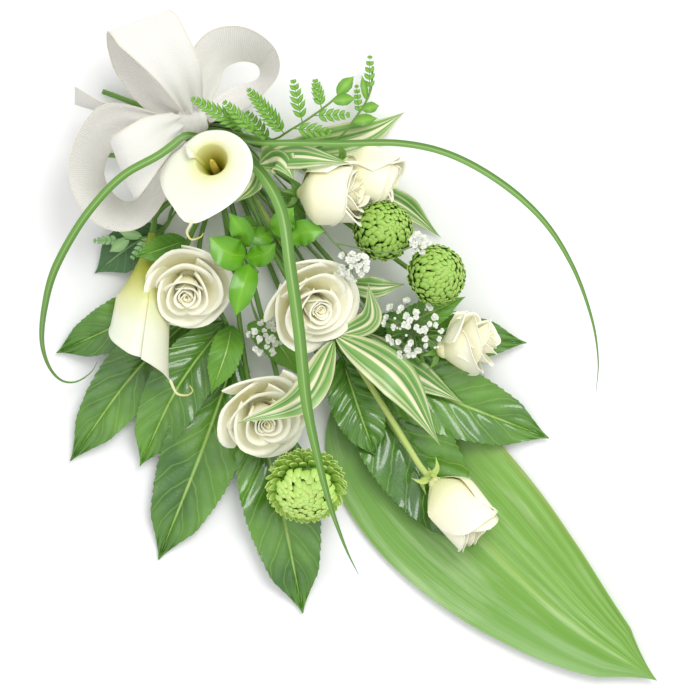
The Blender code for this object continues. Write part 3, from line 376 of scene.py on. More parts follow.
def ridges(tree, shader, place, scale, detail, strength, depth):
    """Streaks drawn out along a piece, which stand out as a bump of the shader. Returns their shares."""
    drawn = add(tree, "ShaderNodeVectorMath", {0: place}, operation="MULTIPLY", _1=scale)
    streaks = add(tree, "ShaderNodeTexNoise", {"Vector": drawn.outputs[0]}, Scale=1.0, Detail=detail)
    bump = add(tree, "ShaderNodeBump", {"Height": streaks.outputs["Fac"]}, Strength=strength, Distance=depth)
    tree.links.new(bump.outputs[0], shader.inputs["Normal"])
    return streaks.outputs["Fac"]


def stem_finish(name, dark, light):
    """Skin of a fresh stem: satin, with fine lines along it that are drawn about 0.5 mm apart."""
    finish, tree, shader = new_finish(name, Roughness=0.42, IOR=1.45)
    place = add(tree, "ShaderNodeUVMap", uv_map="blade")
    lines = ridges(tree, shader, place.outputs[0], (22.0, 6.0, 1.0), 3.0, 0.15, 0.0003)
    tint = add(tree, "ShaderNodeValToRGB", {"Fac": lines}, [(0.3, dark), (0.7, light)])
    tree.links.new(tint.outputs["Color"], shader.inputs["Base Color"])
    return finish


# Fresh rose and calla stems: smooth skin in mid green. The bud's stem is younger and paler.
stem_green = stem_finish("fresh flower stem", "#4E7A2C", "#7FA94B")
bud_green = stem_finish("young rose stem", "#A9C462", "#CBDB83")


def stem_tube(line, knots, lifts, radius, start=0.0, neck=None):
    """Round stem along its line, which may widen at its start."""
    end = measure(line)[-1]
    runs = np.linspace(start, end, max(4, int((end - start) / 6)))
    radii = np.full(len(runs), float(radius))
    if neck:
        radii = np.maximum(radii, neck - (runs - start) * 0.35)
    return as_tube(raised(line, knots, lifts, runs), radii)


# Long leaves: one broad aspidistra leaf that forms the tip, a laurel leaf and three striped dracaena
# leaves, all fresh and each on its own stalk. A blade is a thin shell that narrows to its tip and is
# folded up at its rib: outline, teeth, waves and swellings are in its mesh, fine veins in its finish.

EDGE_WAVES = 3.0
# How far a side vein runs forward along the leaf, in steps from vein to vein, on its way to the edge
VEIN_LEAN = 1.7
TIP_POWER = 0.55
LEAST_HALF = 0.12
# Pairs of side veins in one leaf of each kind
ARALIA_PAIRS = 8
LAUREL_PAIRS = 9
ROSE_LEAF_PAIRS = 7
# Colour of the painted sheen: pale patches where a satin skin would catch the light
PAINTED_SHEEN_PALE = "#CFE3B4"


def blade(line, width, across=16, peak=0.4, power=0.8, fold=0.12, teeth=0, depth=0.0, wave=0.0,
          pairs=0, swell=0.0, sharp=0.0, floor=None, base=0.05):
    """Grid of a leaf along its middle line. It is widest at the share peak, and sharp is the share of
    it that narrows faster to its tip. The swelling lies between its pairs of side veins."""
    rows = len(line)
    way = np.gradient(line, axis=0)
    bend = math.log(0.5) / math.log(peak)
    u = np.linspace(-1, 1, across + 1)
    grid = np.empty((rows, across + 1, 3))
    phase = chance.uniform(0, 6.28, 2)
    for k in range(rows):
        v = k / (rows - 1)
        ahead = unit(way[k])
        side = unit(np.cross(ahead, (0, 0, 1)))
        up = np.cross(side, ahead)
        shape = math.sin(math.pi * min(1, v) ** bend) ** power if 0 < v < 1 else 0.0
        if sharp and v > 1 - sharp:
            shape *= ((1 - v) / sharp) ** TIP_POWER
        half = width / 2 * max(base * (1 - v) ** 2, shape) + LEAST_HALF
        cut = 1 - depth * np.abs(u) ** 9 * (1 - (v * teeth) % 1) if teeth and 0.06 < v < 0.97 else 1.0
        edge = wave * np.sin(6.283 * EDGE_WAVES * v + np.where(u < 0, phase[0], phase[1])) * u ** 2
        rise = fold * np.abs(u) * half + edge * math.sin(math.pi * v)
        if pairs:
            between = (v * pairs - np.abs(u) * VEIN_LEAN) % 1
            rise = rise + swell * np.sin(math.pi * between) * np.minimum(1, np.abs(u) * 5)
            rise = rise - swell * 0.6 * np.exp(-(u / 0.05) ** 2)
        grid[k] = line[k] + np.outer(u * cut * half, side) + np.outer(rise, up)
    if floor is not None:
        grid[:, :, 2] = np.maximum(grid[:, :, 2], floor)
    return grid


def leaf_line(node, points, along, count, first=None):
    """Middle line of a leaf, as high as the CAD leaf lies."""
    stations = smooth(points, along + 1)
    lifts = [lift_at(node, spot) for spot in stations]
    lifts[0] = first if first is not None else lifts[0]
    line = smooth(points, count)
    line[:, 2] += np.interp(np.linspace(0, 1, count), np.linspace(0, 1, along + 1), filled(lifts))
    for _ in range(count // 8):
        line[1:-1, 2] = (line[:-2, 2] + 2 * line[1:-1, 2] + line[2:, 2]) / 4
    return line


def net_leaf(name, deep, light, rib, pairs, roughness, coat):
    """Leaf with a pale rib, side veins that curve forward in pairs, and a fine net between them. The
    net is drawn with 330 cells to the metre, 3 mm each, because the real one is too fine to show, and
    the green shifts in patches about 55 mm wide."""
    finish, tree, shader = new_finish(name, Roughness=roughness, IOR=1.45, Coat_Weight=coat,
                                      Coat_Roughness=0.12)
    place = add(tree, "ShaderNodeUVMap", uv_map="blade")
    body = add(tree, "ShaderNodeTexCoord")
    drift = add(tree, "ShaderNodeTexNoise", {"Vector": body.outputs["Object"]}, Scale=55.0, Detail=2.0)
    parts = add(tree, "ShaderNodeSeparateXYZ", {0: place.outputs[0]})
    across = add(tree, "ShaderNodeMath", {0: parts.outputs["X"]}, operation="SUBTRACT", _1=0.5)
    apart = add(tree, "ShaderNodeMath", {0: across.outputs[0]}, operation="ABSOLUTE")
    lean = add(tree, "ShaderNodeMath", {0: apart.outputs[0]}, operation="MULTIPLY", _1=2 * VEIN_LEAN)
    along = add(tree, "ShaderNodeMath", {0: parts.outputs["Y"]}, operation="MULTIPLY", _1=float(pairs))
    shift = add(tree, "ShaderNodeMath", {0: drift.outputs["Fac"], 2: along.outputs[0]},
                operation="MULTIPLY_ADD", _1=0.5)
    step = add(tree, "ShaderNodeMath", {0: shift.outputs[0], 1: lean.outputs[0]}, operation="SUBTRACT")
    part = add(tree, "ShaderNodeMath", {0: step.outputs[0]}, operation="FRACT")
    vein = add(tree, "ShaderNodeValToRGB", {"Fac": part.outputs[0]},
               [(0.0, 1.0), (1.0, 1.0), (0.05, 0.0), (0.93, 0.0)])
    ribbed = add(tree, "ShaderNodeValToRGB", {"Fac": apart.outputs[0]}, [(0.008, 1.0), (0.028, 0.0)])
    net = add(tree, "ShaderNodeTexVoronoi", {"Vector": body.outputs["Object"]}, feature="DISTANCE_TO_EDGE",
              Scale=330.0)
    mesh_lines = add(tree, "ShaderNodeValToRGB", {"Fac": net.outputs["Distance"]}, [(0.0, 1.0), (0.10, 0.0)])
    patch = add(tree, "ShaderNodeTexNoise", {"Vector": body.outputs["Object"]}, Scale=18.0, Detail=4.0)
    tint = add(tree, "ShaderNodeValToRGB", {"Fac": patch.outputs["Fac"]}, [(0.32, deep), (0.68, light)])
    soft = add(tree, "ShaderNodeMath", {0: vein.outputs["Color"]}, operation="MULTIPLY", _1=0.3)
    veined = add(tree, "ShaderNodeMixRGB", {"Fac": soft.outputs[0], "Color1": tint.outputs["Color"]},
                 Color2=linear(rib))
    whole = add(tree, "ShaderNodeMixRGB", {"Fac": ribbed.outputs["Color"], "Color1": veined.outputs["Color"]},
                Color2=linear(rib))
    tree.links.new(whole.outputs[0], shader.inputs["Base Color"])
    both = add(tree, "ShaderNodeMath", {0: mesh_lines.outputs["Color"], 2: vein.outputs["Color"]},
               operation="MULTIPLY_ADD", _1=0.3)
    bump = add(tree, "ShaderNodeBump", {"Height": both.outputs[0]}, Strength=0.4, Distance=0.0008,
               invert=True)
    tree.links.new(bump.outputs[0], shader.inputs["Normal"])
    return finish


def lined_leaf(name, stops, width, spacing, roughness, coat=0.0, wander=0.05, streaks=0.0):
    """Leaf with veins that run side by side along it. The stops colour it from edge to edge, spacing is
    from vein to vein across its width, and streaks is the strength of its painted sheen, pale patches
    where a satin skin would catch the light."""
    finish, tree, shader = new_finish(name, Roughness=roughness, IOR=1.45, Coat_Weight=coat,
                                      Coat_Roughness=0.22)
    place = add(tree, "ShaderNodeUVMap", uv_map="blade")
    tone = add(tree, "ShaderNodeAttribute", attribute_name="tone")
    slow = add(tree, "ShaderNodeVectorMath", {0: place.outputs[0]}, operation="MULTIPLY", _1=(7.0, 1.6, 1.0))
    moved = add(tree, "ShaderNodeVectorMath", {0: slow.outputs[0], 1: tone.outputs["Vector"]},
                operation="ADD")
    drift = add(tree, "ShaderNodeTexNoise", {"Vector": moved.outputs[0]}, Scale=1.0, Detail=3.0)
    parts = add(tree, "ShaderNodeSeparateXYZ", {0: place.outputs[0]})
    centred = add(tree, "ShaderNodeMath", {0: drift.outputs["Fac"]}, operation="SUBTRACT", _1=0.5)
    strayed = add(tree, "ShaderNodeMath", {0: centred.outputs[0], 2: parts.outputs["X"]},
                  operation="MULTIPLY_ADD", _1=wander * 4)
    tint = add(tree, "ShaderNodeValToRGB", {"Fac": strayed.outputs[0]}, stops)
    veins = ridges(tree, shader, place.outputs[0], (width / spacing, 1.3, 1.0), 2.0, 0.3, 0.0006)
    shade = add(tree, "ShaderNodeValToRGB", {"Fac": veins}, [(0.3, 0.80), (0.7, 1.0)])
    lined = add(tree, "ShaderNodeMixRGB", {"Color1": tint.outputs["Color"], "Color2": shade.outputs["Color"]},
                blend_type="MULTIPLY", Fac=0.8)
    # Painted sheen: pale patches stretched along the blade, where a satin skin would catch the light
    long = add(tree, "ShaderNodeVectorMath", {0: place.outputs[0]}, operation="MULTIPLY", _1=(13.0, 3.2, 1.0))
    satin = add(tree, "ShaderNodeTexNoise", {"Vector": long.outputs[0]}, Scale=1.0, Detail=4.0)
    patch = add(tree, "ShaderNodeValToRGB", {"Fac": satin.outputs["Fac"]}, [(0.52, 0.0), (0.72, streaks)])
    whole = add(tree, "ShaderNodeMixRGB", {"Fac": patch.outputs["Color"], "Color1": lined.outputs[0]},
                Color2=linear(PAINTED_SHEEN_PALE))
    tree.links.new(whole.outputs[0], shader.inputs["Base Color"])
    return finish


# Aspidistra leaf: grown leathery and hardly waxed, so satin mid green with close veins along it,
# and with pale patches of painted sheen
aspidistra_green = lined_leaf(
    "aspidistra leaf skin",
    [(0.0, "#8DB04A"), (1.0, "#8CB24C"), (0.012, "#7FB046"), (0.2, "#82B44A"), (0.47, "#7AAE42"),
     (0.5, "#9CC45F"), (0.53, "#7AAE42"), (0.8, "#70A53C"), (0.988, "#74A840")],
    126, 1.4, 0.34, 0.15, streaks=0.32)
# Aralia leaf: grown thick under a heavy wax, so very glossy, deep green with a pale rib
glossy_green = net_leaf("aralia leaf skin", "#30640F", "#649A2A", "#B0CF78", ARALIA_PAIRS, 0.3, 0.9)
# Laurel leaf: grown leathery, with a thin wax, so dark blue-green and only a little glossy
laurel_green = net_leaf("laurel leaf skin", "#3A5F38", "#54804A", "#8DB07C", LAUREL_PAIRS, 0.33, 0.15)
# Rose leaf: thinner and softer, so mid green and near matt
rose_leaf_green = net_leaf("rose leaf skin", "#457F1E", "#74AA38", "#B4D27C", ROSE_LEAF_PAIRS, 0.4, 0.1)
# Striped dracaena leaf: grown thin and smooth, so satin, with cream stripes on two greens
dracaena_green = lined_leaf(
    "striped dracaena leaf skin",
    [(0.0, "#7FAE55"), (1.0, "#8DB964"), (0.05, "#EAE7BE"), (0.09, "#96BE6C"), (0.22, "#629C42"),
     (0.30, "#D9DFA8"), (0.33, "#76AA50"), (0.44, "#5A933D"), (0.49, "#F1EDC6"), (0.57, "#F0ECC4"),
     (0.60, "#8DBB66"), (0.72, "#5E983F"), (0.79, "#CBD89C"), (0.83, "#6BA349"), (0.95, "#E9E6BC")],
    25.5, 0.75, 0.36, 0.1, 0.06)
# Ruscus leaf: grown thin under a fine wax, so fresh bright green, with veins that are hardly seen
ruscus_green = lined_leaf(
    "ruscus leaf skin",
    [(0.0, "#5C9E1C"), (1.0, "#5C9E1C"), (0.3, "#70B424"), (0.49, "#7ABC2A"), (0.5, "#A0D254"),
     (0.51, "#7ABC2A"), (0.7, "#6AAE22")], 19.8, 0.9, 0.3, 0.25)

LONG_LEAVES = {
    "aspidistra_leaf": dict(
        slot="aspidistra", stalk=2.0, width=126, along=10, peak=0.34, power=0.72, fold=0.05,
        blade=[(-22, -20, 4), (-28, -75, 1.6), (-32, -130, 0.35), (-32.5, -180, 0.35), (-31, -230, 0.35),
               (-26, -285, 2.5), (-13, -351, 8)],
        line=[(-13, 50, 5)]),
    "laurel_leaf": dict(
        slot="laurel", stalk=1.4, width=34, along=6, peak=0.5, power=0.8, fold=0.15,
        blade=[(-34, 170, 6), (-64, 178, 10), (-98, 183, 3)], line=[(-14, 177, 4)]),
    "dracaena_leaf_4": dict(
        slot="dracaena_d", stalk=1.4, width=26, along=6, peak=0.45, power=0.8, fold=0.25,
        blade=[(76, 148, 10), (104, 124, 15), (132, 108, 14), (161, 101, 1)], line=[(60, 166, 6)]),
    "dracaena_leaf_5": dict(
        slot="dracaena_e", stalk=1.4, width=24, along=6, peak=0.45, power=0.8, fold=0.25,
        blade=[(16, 2, 20), (20, -36, 26), (33, -92, 20)], line=[(20, 60, 8)]),
    "dracaena_leaf_6": dict(
        slot="dracaena_f", stalk=1.4, width=18, along=6, peak=0.45, power=0.8, fold=0.25,
        blade=[(88, 90, 8), (108, 55, 14), (112, 12, 4)], line=[(76, 120, 5)]),
}
LEAF_LOOKS = {
    "aspidistra": dict(finish=aspidistra_green, slot="aspidistra_leaf", count=150, across=72, sharp=0.12),
    "laurel": dict(finish=laurel_green, slot="laurel_leaf", count=60, across=20, wave=1.0,
                   pairs=LAUREL_PAIRS, swell=0.4, sharp=0.3),
    "dracaena": dict(finish=dracaena_green, slot="dracaena_leaf", count=60, across=24, wave=1.5, sharp=0.4),
}
LONG_LEAF_THICK = 0.6
LEAF_FLOOR = 0.4


def long_folds(grid):
    """Long soft folds in the aspidistra blade, most of them in its right half near the tip."""
    rows, columns = grid.shape[:2]
    v, u = np.meshgrid(np.linspace(0, 1, rows), np.linspace(-1, 1, columns), indexing="ij")
    spread = np.clip((v - 0.25) * 3, 0, 1) * np.clip((1 - v) * 6, 0, 1)
    waves = 1.0 * np.sin(7 * u + 2.2 * v) + 0.6 * np.sin(15 * u - 3 * v + 1)
    waves += 0.5 * np.sin(41 * u + 6 * v + 2 * np.sin(5 * v)) * (u < 0.1)
    grid[:, :, 2] += spread * (1.6 + waves) * (0.75 - 0.35 * u) + 3.0 * np.abs(u) ** 3 * spread
    grid[:, :, 2] += 0.8 * np.sin(math.pi * v) * (1 - u ** 2)
    return grid


for name, plan in LONG_LEAVES.items():
    look = LEAF_LOOKS[name.split("_")[0]]
    tip_first = list(reversed(plan["blade"])) + plan["line"]
    line, knots, lifts = stem_line(name, plan["slot"], tip_first, plan["stalk"])
    middle = leaf_line(name, plan["blade"], plan["along"], look["count"])
    grid = blade(middle, plan["width"], look["across"], plan["peak"], plan["power"], plan["fold"],
                 wave=look.get("wave", 0), pairs=look.get("pairs", 0), swell=look.get("swell", 0),
                 sharp=look["sharp"], floor=LEAF_FLOOR)
    if name == "aspidistra_leaf":
        grid = long_folds(grid)
    nearest = np.argmin(np.linalg.norm(line - np.array(plan["blade"][0], float), axis=1))
    start = measure(line)[nearest] - 8
    parts = [(as_shell(grid, LONG_LEAF_THICK), 0, chance.uniform(0, 9)),
             (stem_tube(line, knots, lifts, plan["stalk"], start), 1, 0.0)]
    build(name + "_blade", parts, [look["finish"], stem_green], [name])


# Leafy sprays: glossy aralia leaves at the back, striped dracaena and ruscus shoots over them. Each is a
# green stem cut with its own leaves on it, and goes down to the tie with the flower stems.

SHOOTS = {
    "glossy_spray_1": dict(
        slot="glossy_1", radius=1.9, along=6,
        line=[(-84, 22, 8), (-68, 50, 9), (-54, 82, 9), (-44, 110, 8), (-26, 140, 6)],
        leaves=[([(-46, 116, 8), (-105, 138, 16), (-163, 160, 3)], 42),
                ([(-48, 104, 8), (-130, 106, 11), (-215, 93, 4)], 50),
                ([(-53, 84, 9), (-115, 74, 20), (-179, 52, 7)], 48),
                ([(-62, 62, 9), (-135, 27, 9), (-221, -10, 0.8)], 62),
                ([(-82, 26, 8), (-120, -42, 13), (-171, -119, 1.5)], 60)]),
    "glossy_spray_2": dict(
        slot="glossy_2", radius=1.9, along=6,
        line=[(-14, -20, 10), (-8, 2, 10), (4, 50, 8)],
        leaves=[([(-13, -14, 10), (-24, -95, 11), (-41, -176, 7)], 70),
                ([(-6, 2, 10), (26, -78, 17), (61, -158, 4)], 58),
                ([(-3, 14, 9), (54, -38, 21), (101, -93, 5)], 42),
                ([(-9, 0, 10), (-28, -38, 22), (-44, -72, 19)], 42)]),
    "dracaena_shoot_1": dict(
        slot="dracaena_a", radius=1.6, along=6,
        line=[(-2, 12, 36), (4, 50, 28)],
        leaves=[([(-4, 14, 38), (-52, 0, 70), (-100, 21, 84)], 25),
                ([(0, 16, 38), (10, -40, 50), (-3, -102, 36)], 31),
                ([(2, 14, 38), (28, 6, 46), (46, 26, 58)], 18)]),
    "dracaena_shoot_2": dict(
        slot="dracaena_b", radius=1.5, along=6,
        line=[(34, 36, 30), (34, 80, 20)],
        leaves=[([(34, 38, 30), (48, 20, 38), (66, 6, 34)], 17)]),
    "dracaena_shoot_3": dict(
        slot="dracaena_c", radius=1.6, along=5,
        line=[(52, 150, 48)],
        leaves=[([(52, 150, 52), (66, 142, 66), (62, 122, 68)], 26),
                ([(50, 152, 50), (36, 144, 62), (17, 142, 60)], 18),
                ([(54, 150, 50), (76, 134, 70), (101, 101, 74)], 20)]),
    "ruscus_shoot_1": dict(
        slot="ruscus_a", radius=1.3, along=3,
        line=[(-8, 92, 62), (-6, 108, 54), (2, 135, 30)],
        leaves=[([(-6, 108, 54), (-13, 118, 70), (-15, 138, 70)], 25),
                ([(-3, 118, 48), (5, 122, 66), (9, 140, 70)], 18),
                ([(-7, 100, 58), (-24, 92, 70), (-44, 80, 66)], 20),
                ([(-6, 106, 55), (6, 98, 70), (18, 98, 76)], 17)]),
    "ruscus_shoot_2": dict(
        slot="ruscus_b", radius=1.3, along=3,
        line=[(26, 92, 40), (22, 110, 32)],
        leaves=[([(24, 98, 44), (34, 106, 54), (47, 108, 56)], 19),
                ([(26, 92, 45), (39, 89, 54), (51, 78, 52)], 20),
                ([(22, 108, 40), (13, 110, 50), (4, 120, 52)], 15)]),
}
SPRAY_LOOKS = {
    "glossy": dict(finish=glossy_green, slot="glossy_leaf", across=30, count=120, teeth=26, depth=0.05,
                   pairs=ARALIA_PAIRS, swell=1.5, wave=2.8, sharp=0.17, power=0.66),
    "dracaena": dict(finish=dracaena_green, slot="dracaena_leaf", across=26, count=70, wave=1.2, sharp=0.5,
                     power=0.8),
    "ruscus": dict(finish=ruscus_green, slot="ruscus_leaf", across=18, count=40, wave=1.2, sharp=0.25,
                   power=0.7),
}
SPRAY_LEAF_THICK = 0.55

for name, plan in SHOOTS.items():
    look = SPRAY_LOOKS[name.split("_")[0]]
    line, knots, lifts = stem_line(name, plan["slot"], plan["line"], plan["radius"])
    parts = [(stem_tube(line, knots, lifts, plan["radius"]), 1, 0.0)]
    for spots, width in plan["leaves"]:
        first = lift_near(line, knots, lifts, spots[0])
        middle = leaf_line(name, spots, plan["along"], look["count"], first)
        grid = blade(middle, width, look["across"], 0.45, look["power"], 0.2, look.get("teeth", 0),
                     look.get("depth", 0), wave=look["wave"], pairs=look.get("pairs", 0),
                     swell=look.get("swell", 0), sharp=look["sharp"], floor=LEAF_FLOOR)
        parts.append((as_shell(grid, SPRAY_LEAF_THICK), 0, chance.uniform(0, 9)))
    build(name + "_leaves", parts, [look["finish"], stem_green], [name])


# Fern fronds: leatherleaf, a thin wiry rachis that carries side fronds, each cut into small leaflets in
# pairs. Three are fresh green and the one at the left edge is pale. They stand out round the bow.

FERNS = {
    "fern_frond_1": dict(
        slot="fern_a",
        line=[(149, 146, 50), (130, 145, 54), (111, 147, 56), (88, 152, 54), (70, 160, 40)],
        pinnae=[((82, 154, 53), (86, 197, 84), 22), ((98, 150, 55), (116, 178, 64), 18),
                ((70, 158, 46), (73, 186, 68), 18), ((116, 147, 56), (128, 166, 58), 15),
                ((90, 151, 55), (108, 128, 54), 20), ((108, 147, 56), (128, 128, 52), 16),
                ((126, 145, 55), (140, 134, 50), 12), ((132, 146, 54), (151, 147, 49), 13)]),
    "fern_frond_2": dict(
        slot="fern_b",
        line=[(168, 143, 22), (152, 130, 28), (130, 124, 32), (109, 123, 28), (80, 140, 16)],
        pinnae=[((126, 124, 32), (142, 112, 26), 12), ((138, 125, 31), (150, 118, 25), 11),
                ((134, 124, 31), (149, 142, 26), 8), ((146, 128, 29), (157, 144, 24), 7),
                ((152, 131, 28), (173, 151, 20), 12)]),
    "fern_frond_3": dict(
        slot="fern_c",
        line=[(-76, 196, 18), (-60, 182, 24), (-40, 168, 24), (-16, 172, 12)],
        pinnae=[((-52, 176, 25), (-62, 192, 20), 10), ((-60, 182, 24), (-78, 186, 16), 12),
                ((-46, 172, 25), (-70, 170, 18), 12), ((-66, 187, 22), (-81, 201, 14), 10)]),
    "fern_frond_4": dict(
        slot="fern_d",
        line=[(68, 152, 68), (66, 166, 70), (63, 182, 54)],
        pinnae=[((64, 176, 62), (50, 222, 90), 22), ((66, 168, 69), (66, 203, 84), 18)]),
}
# Fern leaflet: grown thin, with no wax, so fresh green and almost matt; the pale one is drier
fern_green = lined_leaf("fern leaflet skin", [(0.0, "#5C9A24"), (1.0, "#558F24"), (0.5, "#86BC42")],
                        3.15, 0.35, 0.45, 0.05)
pale_fern_green = lined_leaf("pale fern leaflet skin", [(0.0, "#8FBE78"), (1.0, "#86B870"), (0.5, "#A9CF92")],
                             3.15, 0.35, 0.5, 0.0)
LEAFLET_STEP = 5.2
LEAFLET_THICK = 0.3
# A side frond shorter than this is one leaflet
SHORT_PINNA = 21


def frond_pinna(foot, tip, width):
    """Leaflets in pairs along one pinna, shorter toward its tip; a short pinna is one leaflet."""
    way = tip - foot
    length = np.linalg.norm(way)
    ahead = way / length
    side = unit(np.cross(ahead, (0, 0, 1)))
    line = smooth([foot, foot + way * 0.5 + np.array((0, 0, 3.0)), tip], 12)
    if length < SHORT_PINNA:
        return [as_shell(blade(line, width * 0.8, 8, 0.45, 0.7, 0.15, 5, 0.1, sharp=0.4), LEAFLET_THICK)]
    count = max(5, int(length / LEAFLET_STEP))
    shapes = [as_tube(line, np.linspace(0.5, 0.25, 12), 6)]
    for k in range(count):
        s = (k + 0.7) / count
        arch = np.array((0, 0, 3.0 * math.sin(math.pi * s)))
        root = foot + way * s * 0.96 + arch
        reach = width / 2 * (1 - s) ** 0.5 * min(1, 0.5 + 2.5 * s) * 1.15 + 1.0
        for hand in (-1, 1):
            lean = unit(ahead + side * hand * 0.8)
            droop = np.array((0, 0, -0.10 * reach + chance.uniform(-0.4, 0.4)))
            leaflet = smooth([root, root + lean * reach * 0.55 + (0, 0, 0.4), root + lean * reach + droop], 9)
            wide = min(LEAFLET_STEP * 0.62, reach * 0.45 + 1)
            grid = blade(leaflet, wide, 4, 0.42, 0.8, 0.15, sharp=0.4, base=0.25)
            shapes.append(as_shell(grid, LEAFLET_THICK))
    return shapes


for name, plan in FERNS.items():
    line, knots, lifts = stem_line(name, plan["slot"], plan["line"], 1.1)
    parts = [(stem_tube(line, knots, lifts, 0.9), 1, 0.0)]
    for foot, tip, width in plan["pinnae"]:
        foot = np.array(foot, float)
        tip = np.array(tip, float)
        end = foot + (tip - foot) * 0.94
        low = lift_near(line, knots, lifts, foot)
        high = lift_at(name, end, 1.3)
        foot[2] += low
        tip[2] += low if high is None else high
        tone = chance.uniform(0, 9)
        parts += [(shape, 0, tone) for shape in frond_pinna(foot, tip, width)]
    green = pale_fern_green if name == "fern_frond_3" else fern_green
    build(name + "_leaflets", parts, [green, stem_green], [name])


# Roses. An ivory bloom is a whorl of thin petals round a tight heart, the outer ones cupped and rolled
# back at the lip; it stands on a calyx with five sepals.

ROSES = {
    "rose_1": dict(base=(-46, 130, 28), face=(-0.20, -0.18, 1), width=68, height=44, spin=20, open=1.0),
    "rose_2": dict(base=(4, 60, 40), face=(0.02, -0.32, 1), width=70, height=46, spin=70, open=1.0),
    "rose_3": dict(base=(-79, 24, 28), face=(-0.10, -0.28, 1), width=70, height=44, spin=130, open=1.0),
    "rose_4": dict(base=(57, 114, 48), face=(0.66, -0.66, 0.36), width=50, height=54, spin=10, open=0.55),
    "rose_5": dict(base=(99, 107, 40), face=(0.36, -0.90, 0.1), width=44, height=46, spin=40, open=0.5),
    "rose_6": dict(base=(47, -48, 34), face=(0.82, -0.50, 0.20), width=56, height=50, spin=95, open=0.8),
    "rose_7": dict(base=(-26, -115, 25), face=(-0.06, -1, 0.05), width=46, height=60, spin=0, open=0.3),
}
ROSE_LINES = {
    "rose_1": [(-36, 145, 12)],
    "rose_2": [(8, 84, 20)],
    "rose_3": [(-68, 46, 12)],
    "rose_4": [(48, 135, 26)],
    "rose_5": [(88, 130, 16)],
    "rose_6": [(32, -28, 24)],
    "rose_7": [(-20, -80, 22), (-11, -42, 20)],
}
ROSE_LEAVES = {
    "rose_1": [([(-30, 150, 16), (-52, 160, 30), (-66, 168, 34)], 22)],
    "rose_2": [([(17, 118, 20), (10, 122, 26), (-4, 128, 22)], 22)],
    "rose_3": [([(-52, 78, 14), (-70, 66, 34), (-100, 52, 30)], 26),
               ([(-42, 70, 14), (-36, 44, 22), (-42, 14, 16)], 26)],
    "rose_4": [([(50, 120, 28), (42, 104, 36), (28, 84, 30)], 20)],
    "rose_6": [([(30, -10, 26), (60, -22, 30), (92, -34, 24)], 24)],
}
# Layers from the heart outward: petals, belly and lip radius, height, half width in degrees, roll of the lip
OPEN_BLOOM = ((2, 0.03, 0.07, 0.92, 150, 0.08), (3, 0.07, 0.13, 0.95, 118, 0.1),
              (3, 0.12, 0.20, 0.97, 112, 0.13), (3, 0.18, 0.30, 0.97, 104, 0.18),
              (3, 0.25, 0.50, 0.93, 92, 0.26), (3, 0.38, 0.78, 0.80, 86, 0.35),
              (4, 0.58, 1.04, 0.62, 74, 0.5))
BUD_BLOOM = ((3, 0.14, 0.20, 0.96, 125, 0.2), (3, 0.30, 0.38, 0.99, 100, 0.3), (3, 0.52, 0.62, 1.0, 88, 0.35),
             (3, 0.74, 0.84, 0.98, 86, 0.3), (3, 0.92, 1.00, 0.92, 92, 0.35))
# A bloom open by more than this has the open layers
HALF_OPEN = 0.6
# Share of its height at which a petal reaches the width of its belly, in an open bloom and in a bud
OPEN_FULL = 0.7
BUD_FULL = 0.42
# An open bloom is tipped this many times as far from upright as the CAD one
OPEN_LEAN = 2.1
PETAL_THICK = 0.4
# Share of a petal's length at which its lip starts to roll
LIP_START = 0.74
SEPALS = 5
SEPAL_WIDTH = 5.0
# Angle from one sepal to the next, in radians
SEPAL_TURN = 1.2566

# Rose petal: grown thin and velvety, so soft light at its edge, ivory that turns to cream at its foot,
# with faint veins drawn about 2 mm apart
petal_ivory, tree, shader = new_finish("ivory rose petal", Roughness=0.55, IOR=1.4, Sheen_Weight=0.15)
place = add(tree, "ShaderNodeUVMap", uv_map="blade")
parts_of = add(tree, "ShaderNodeSeparateXYZ", {0: place.outputs[0]})
tone = add(tree, "ShaderNodeAttribute", attribute_name="tone")
outer = add(tree, "ShaderNodeValToRGB", {"Fac": parts_of.outputs["Y"]},
            [(0.0, "#E9EBAC"), (1.0, "#FCFBEA"), (0.3, "#FBF8D2"), (0.7, "#FDFBE4")])
inner = add(tree, "ShaderNodeValToRGB", {"Fac": parts_of.outputs["Y"]},
            [(0.0, "#F3E896"), (1.0, "#FDFADF"), (0.5, "#FBF4C6")])
whole = add(tree, "ShaderNodeMixRGB", {"Fac": tone.outputs["Fac"], "Color1": inner.outputs["Color"],
                                       "Color2": outer.outputs["Color"]})
tree.links.new(whole.outputs[0], shader.inputs["Base Color"])
ridges(tree, shader, place.outputs[0], (26.0, 3.0, 1.0), 3.0, 0.12, 0.0005)


def axes_of(face, spin=0.0):
    """Rotation that takes local +Z to the way a bloom faces, after a turn about it."""
    turn = Vector(face).normalized().to_track_quat("Z", "Y").to_matrix()
    return np.array(turn @ Matrix.Rotation(math.radians(spin), 3, "Z"))


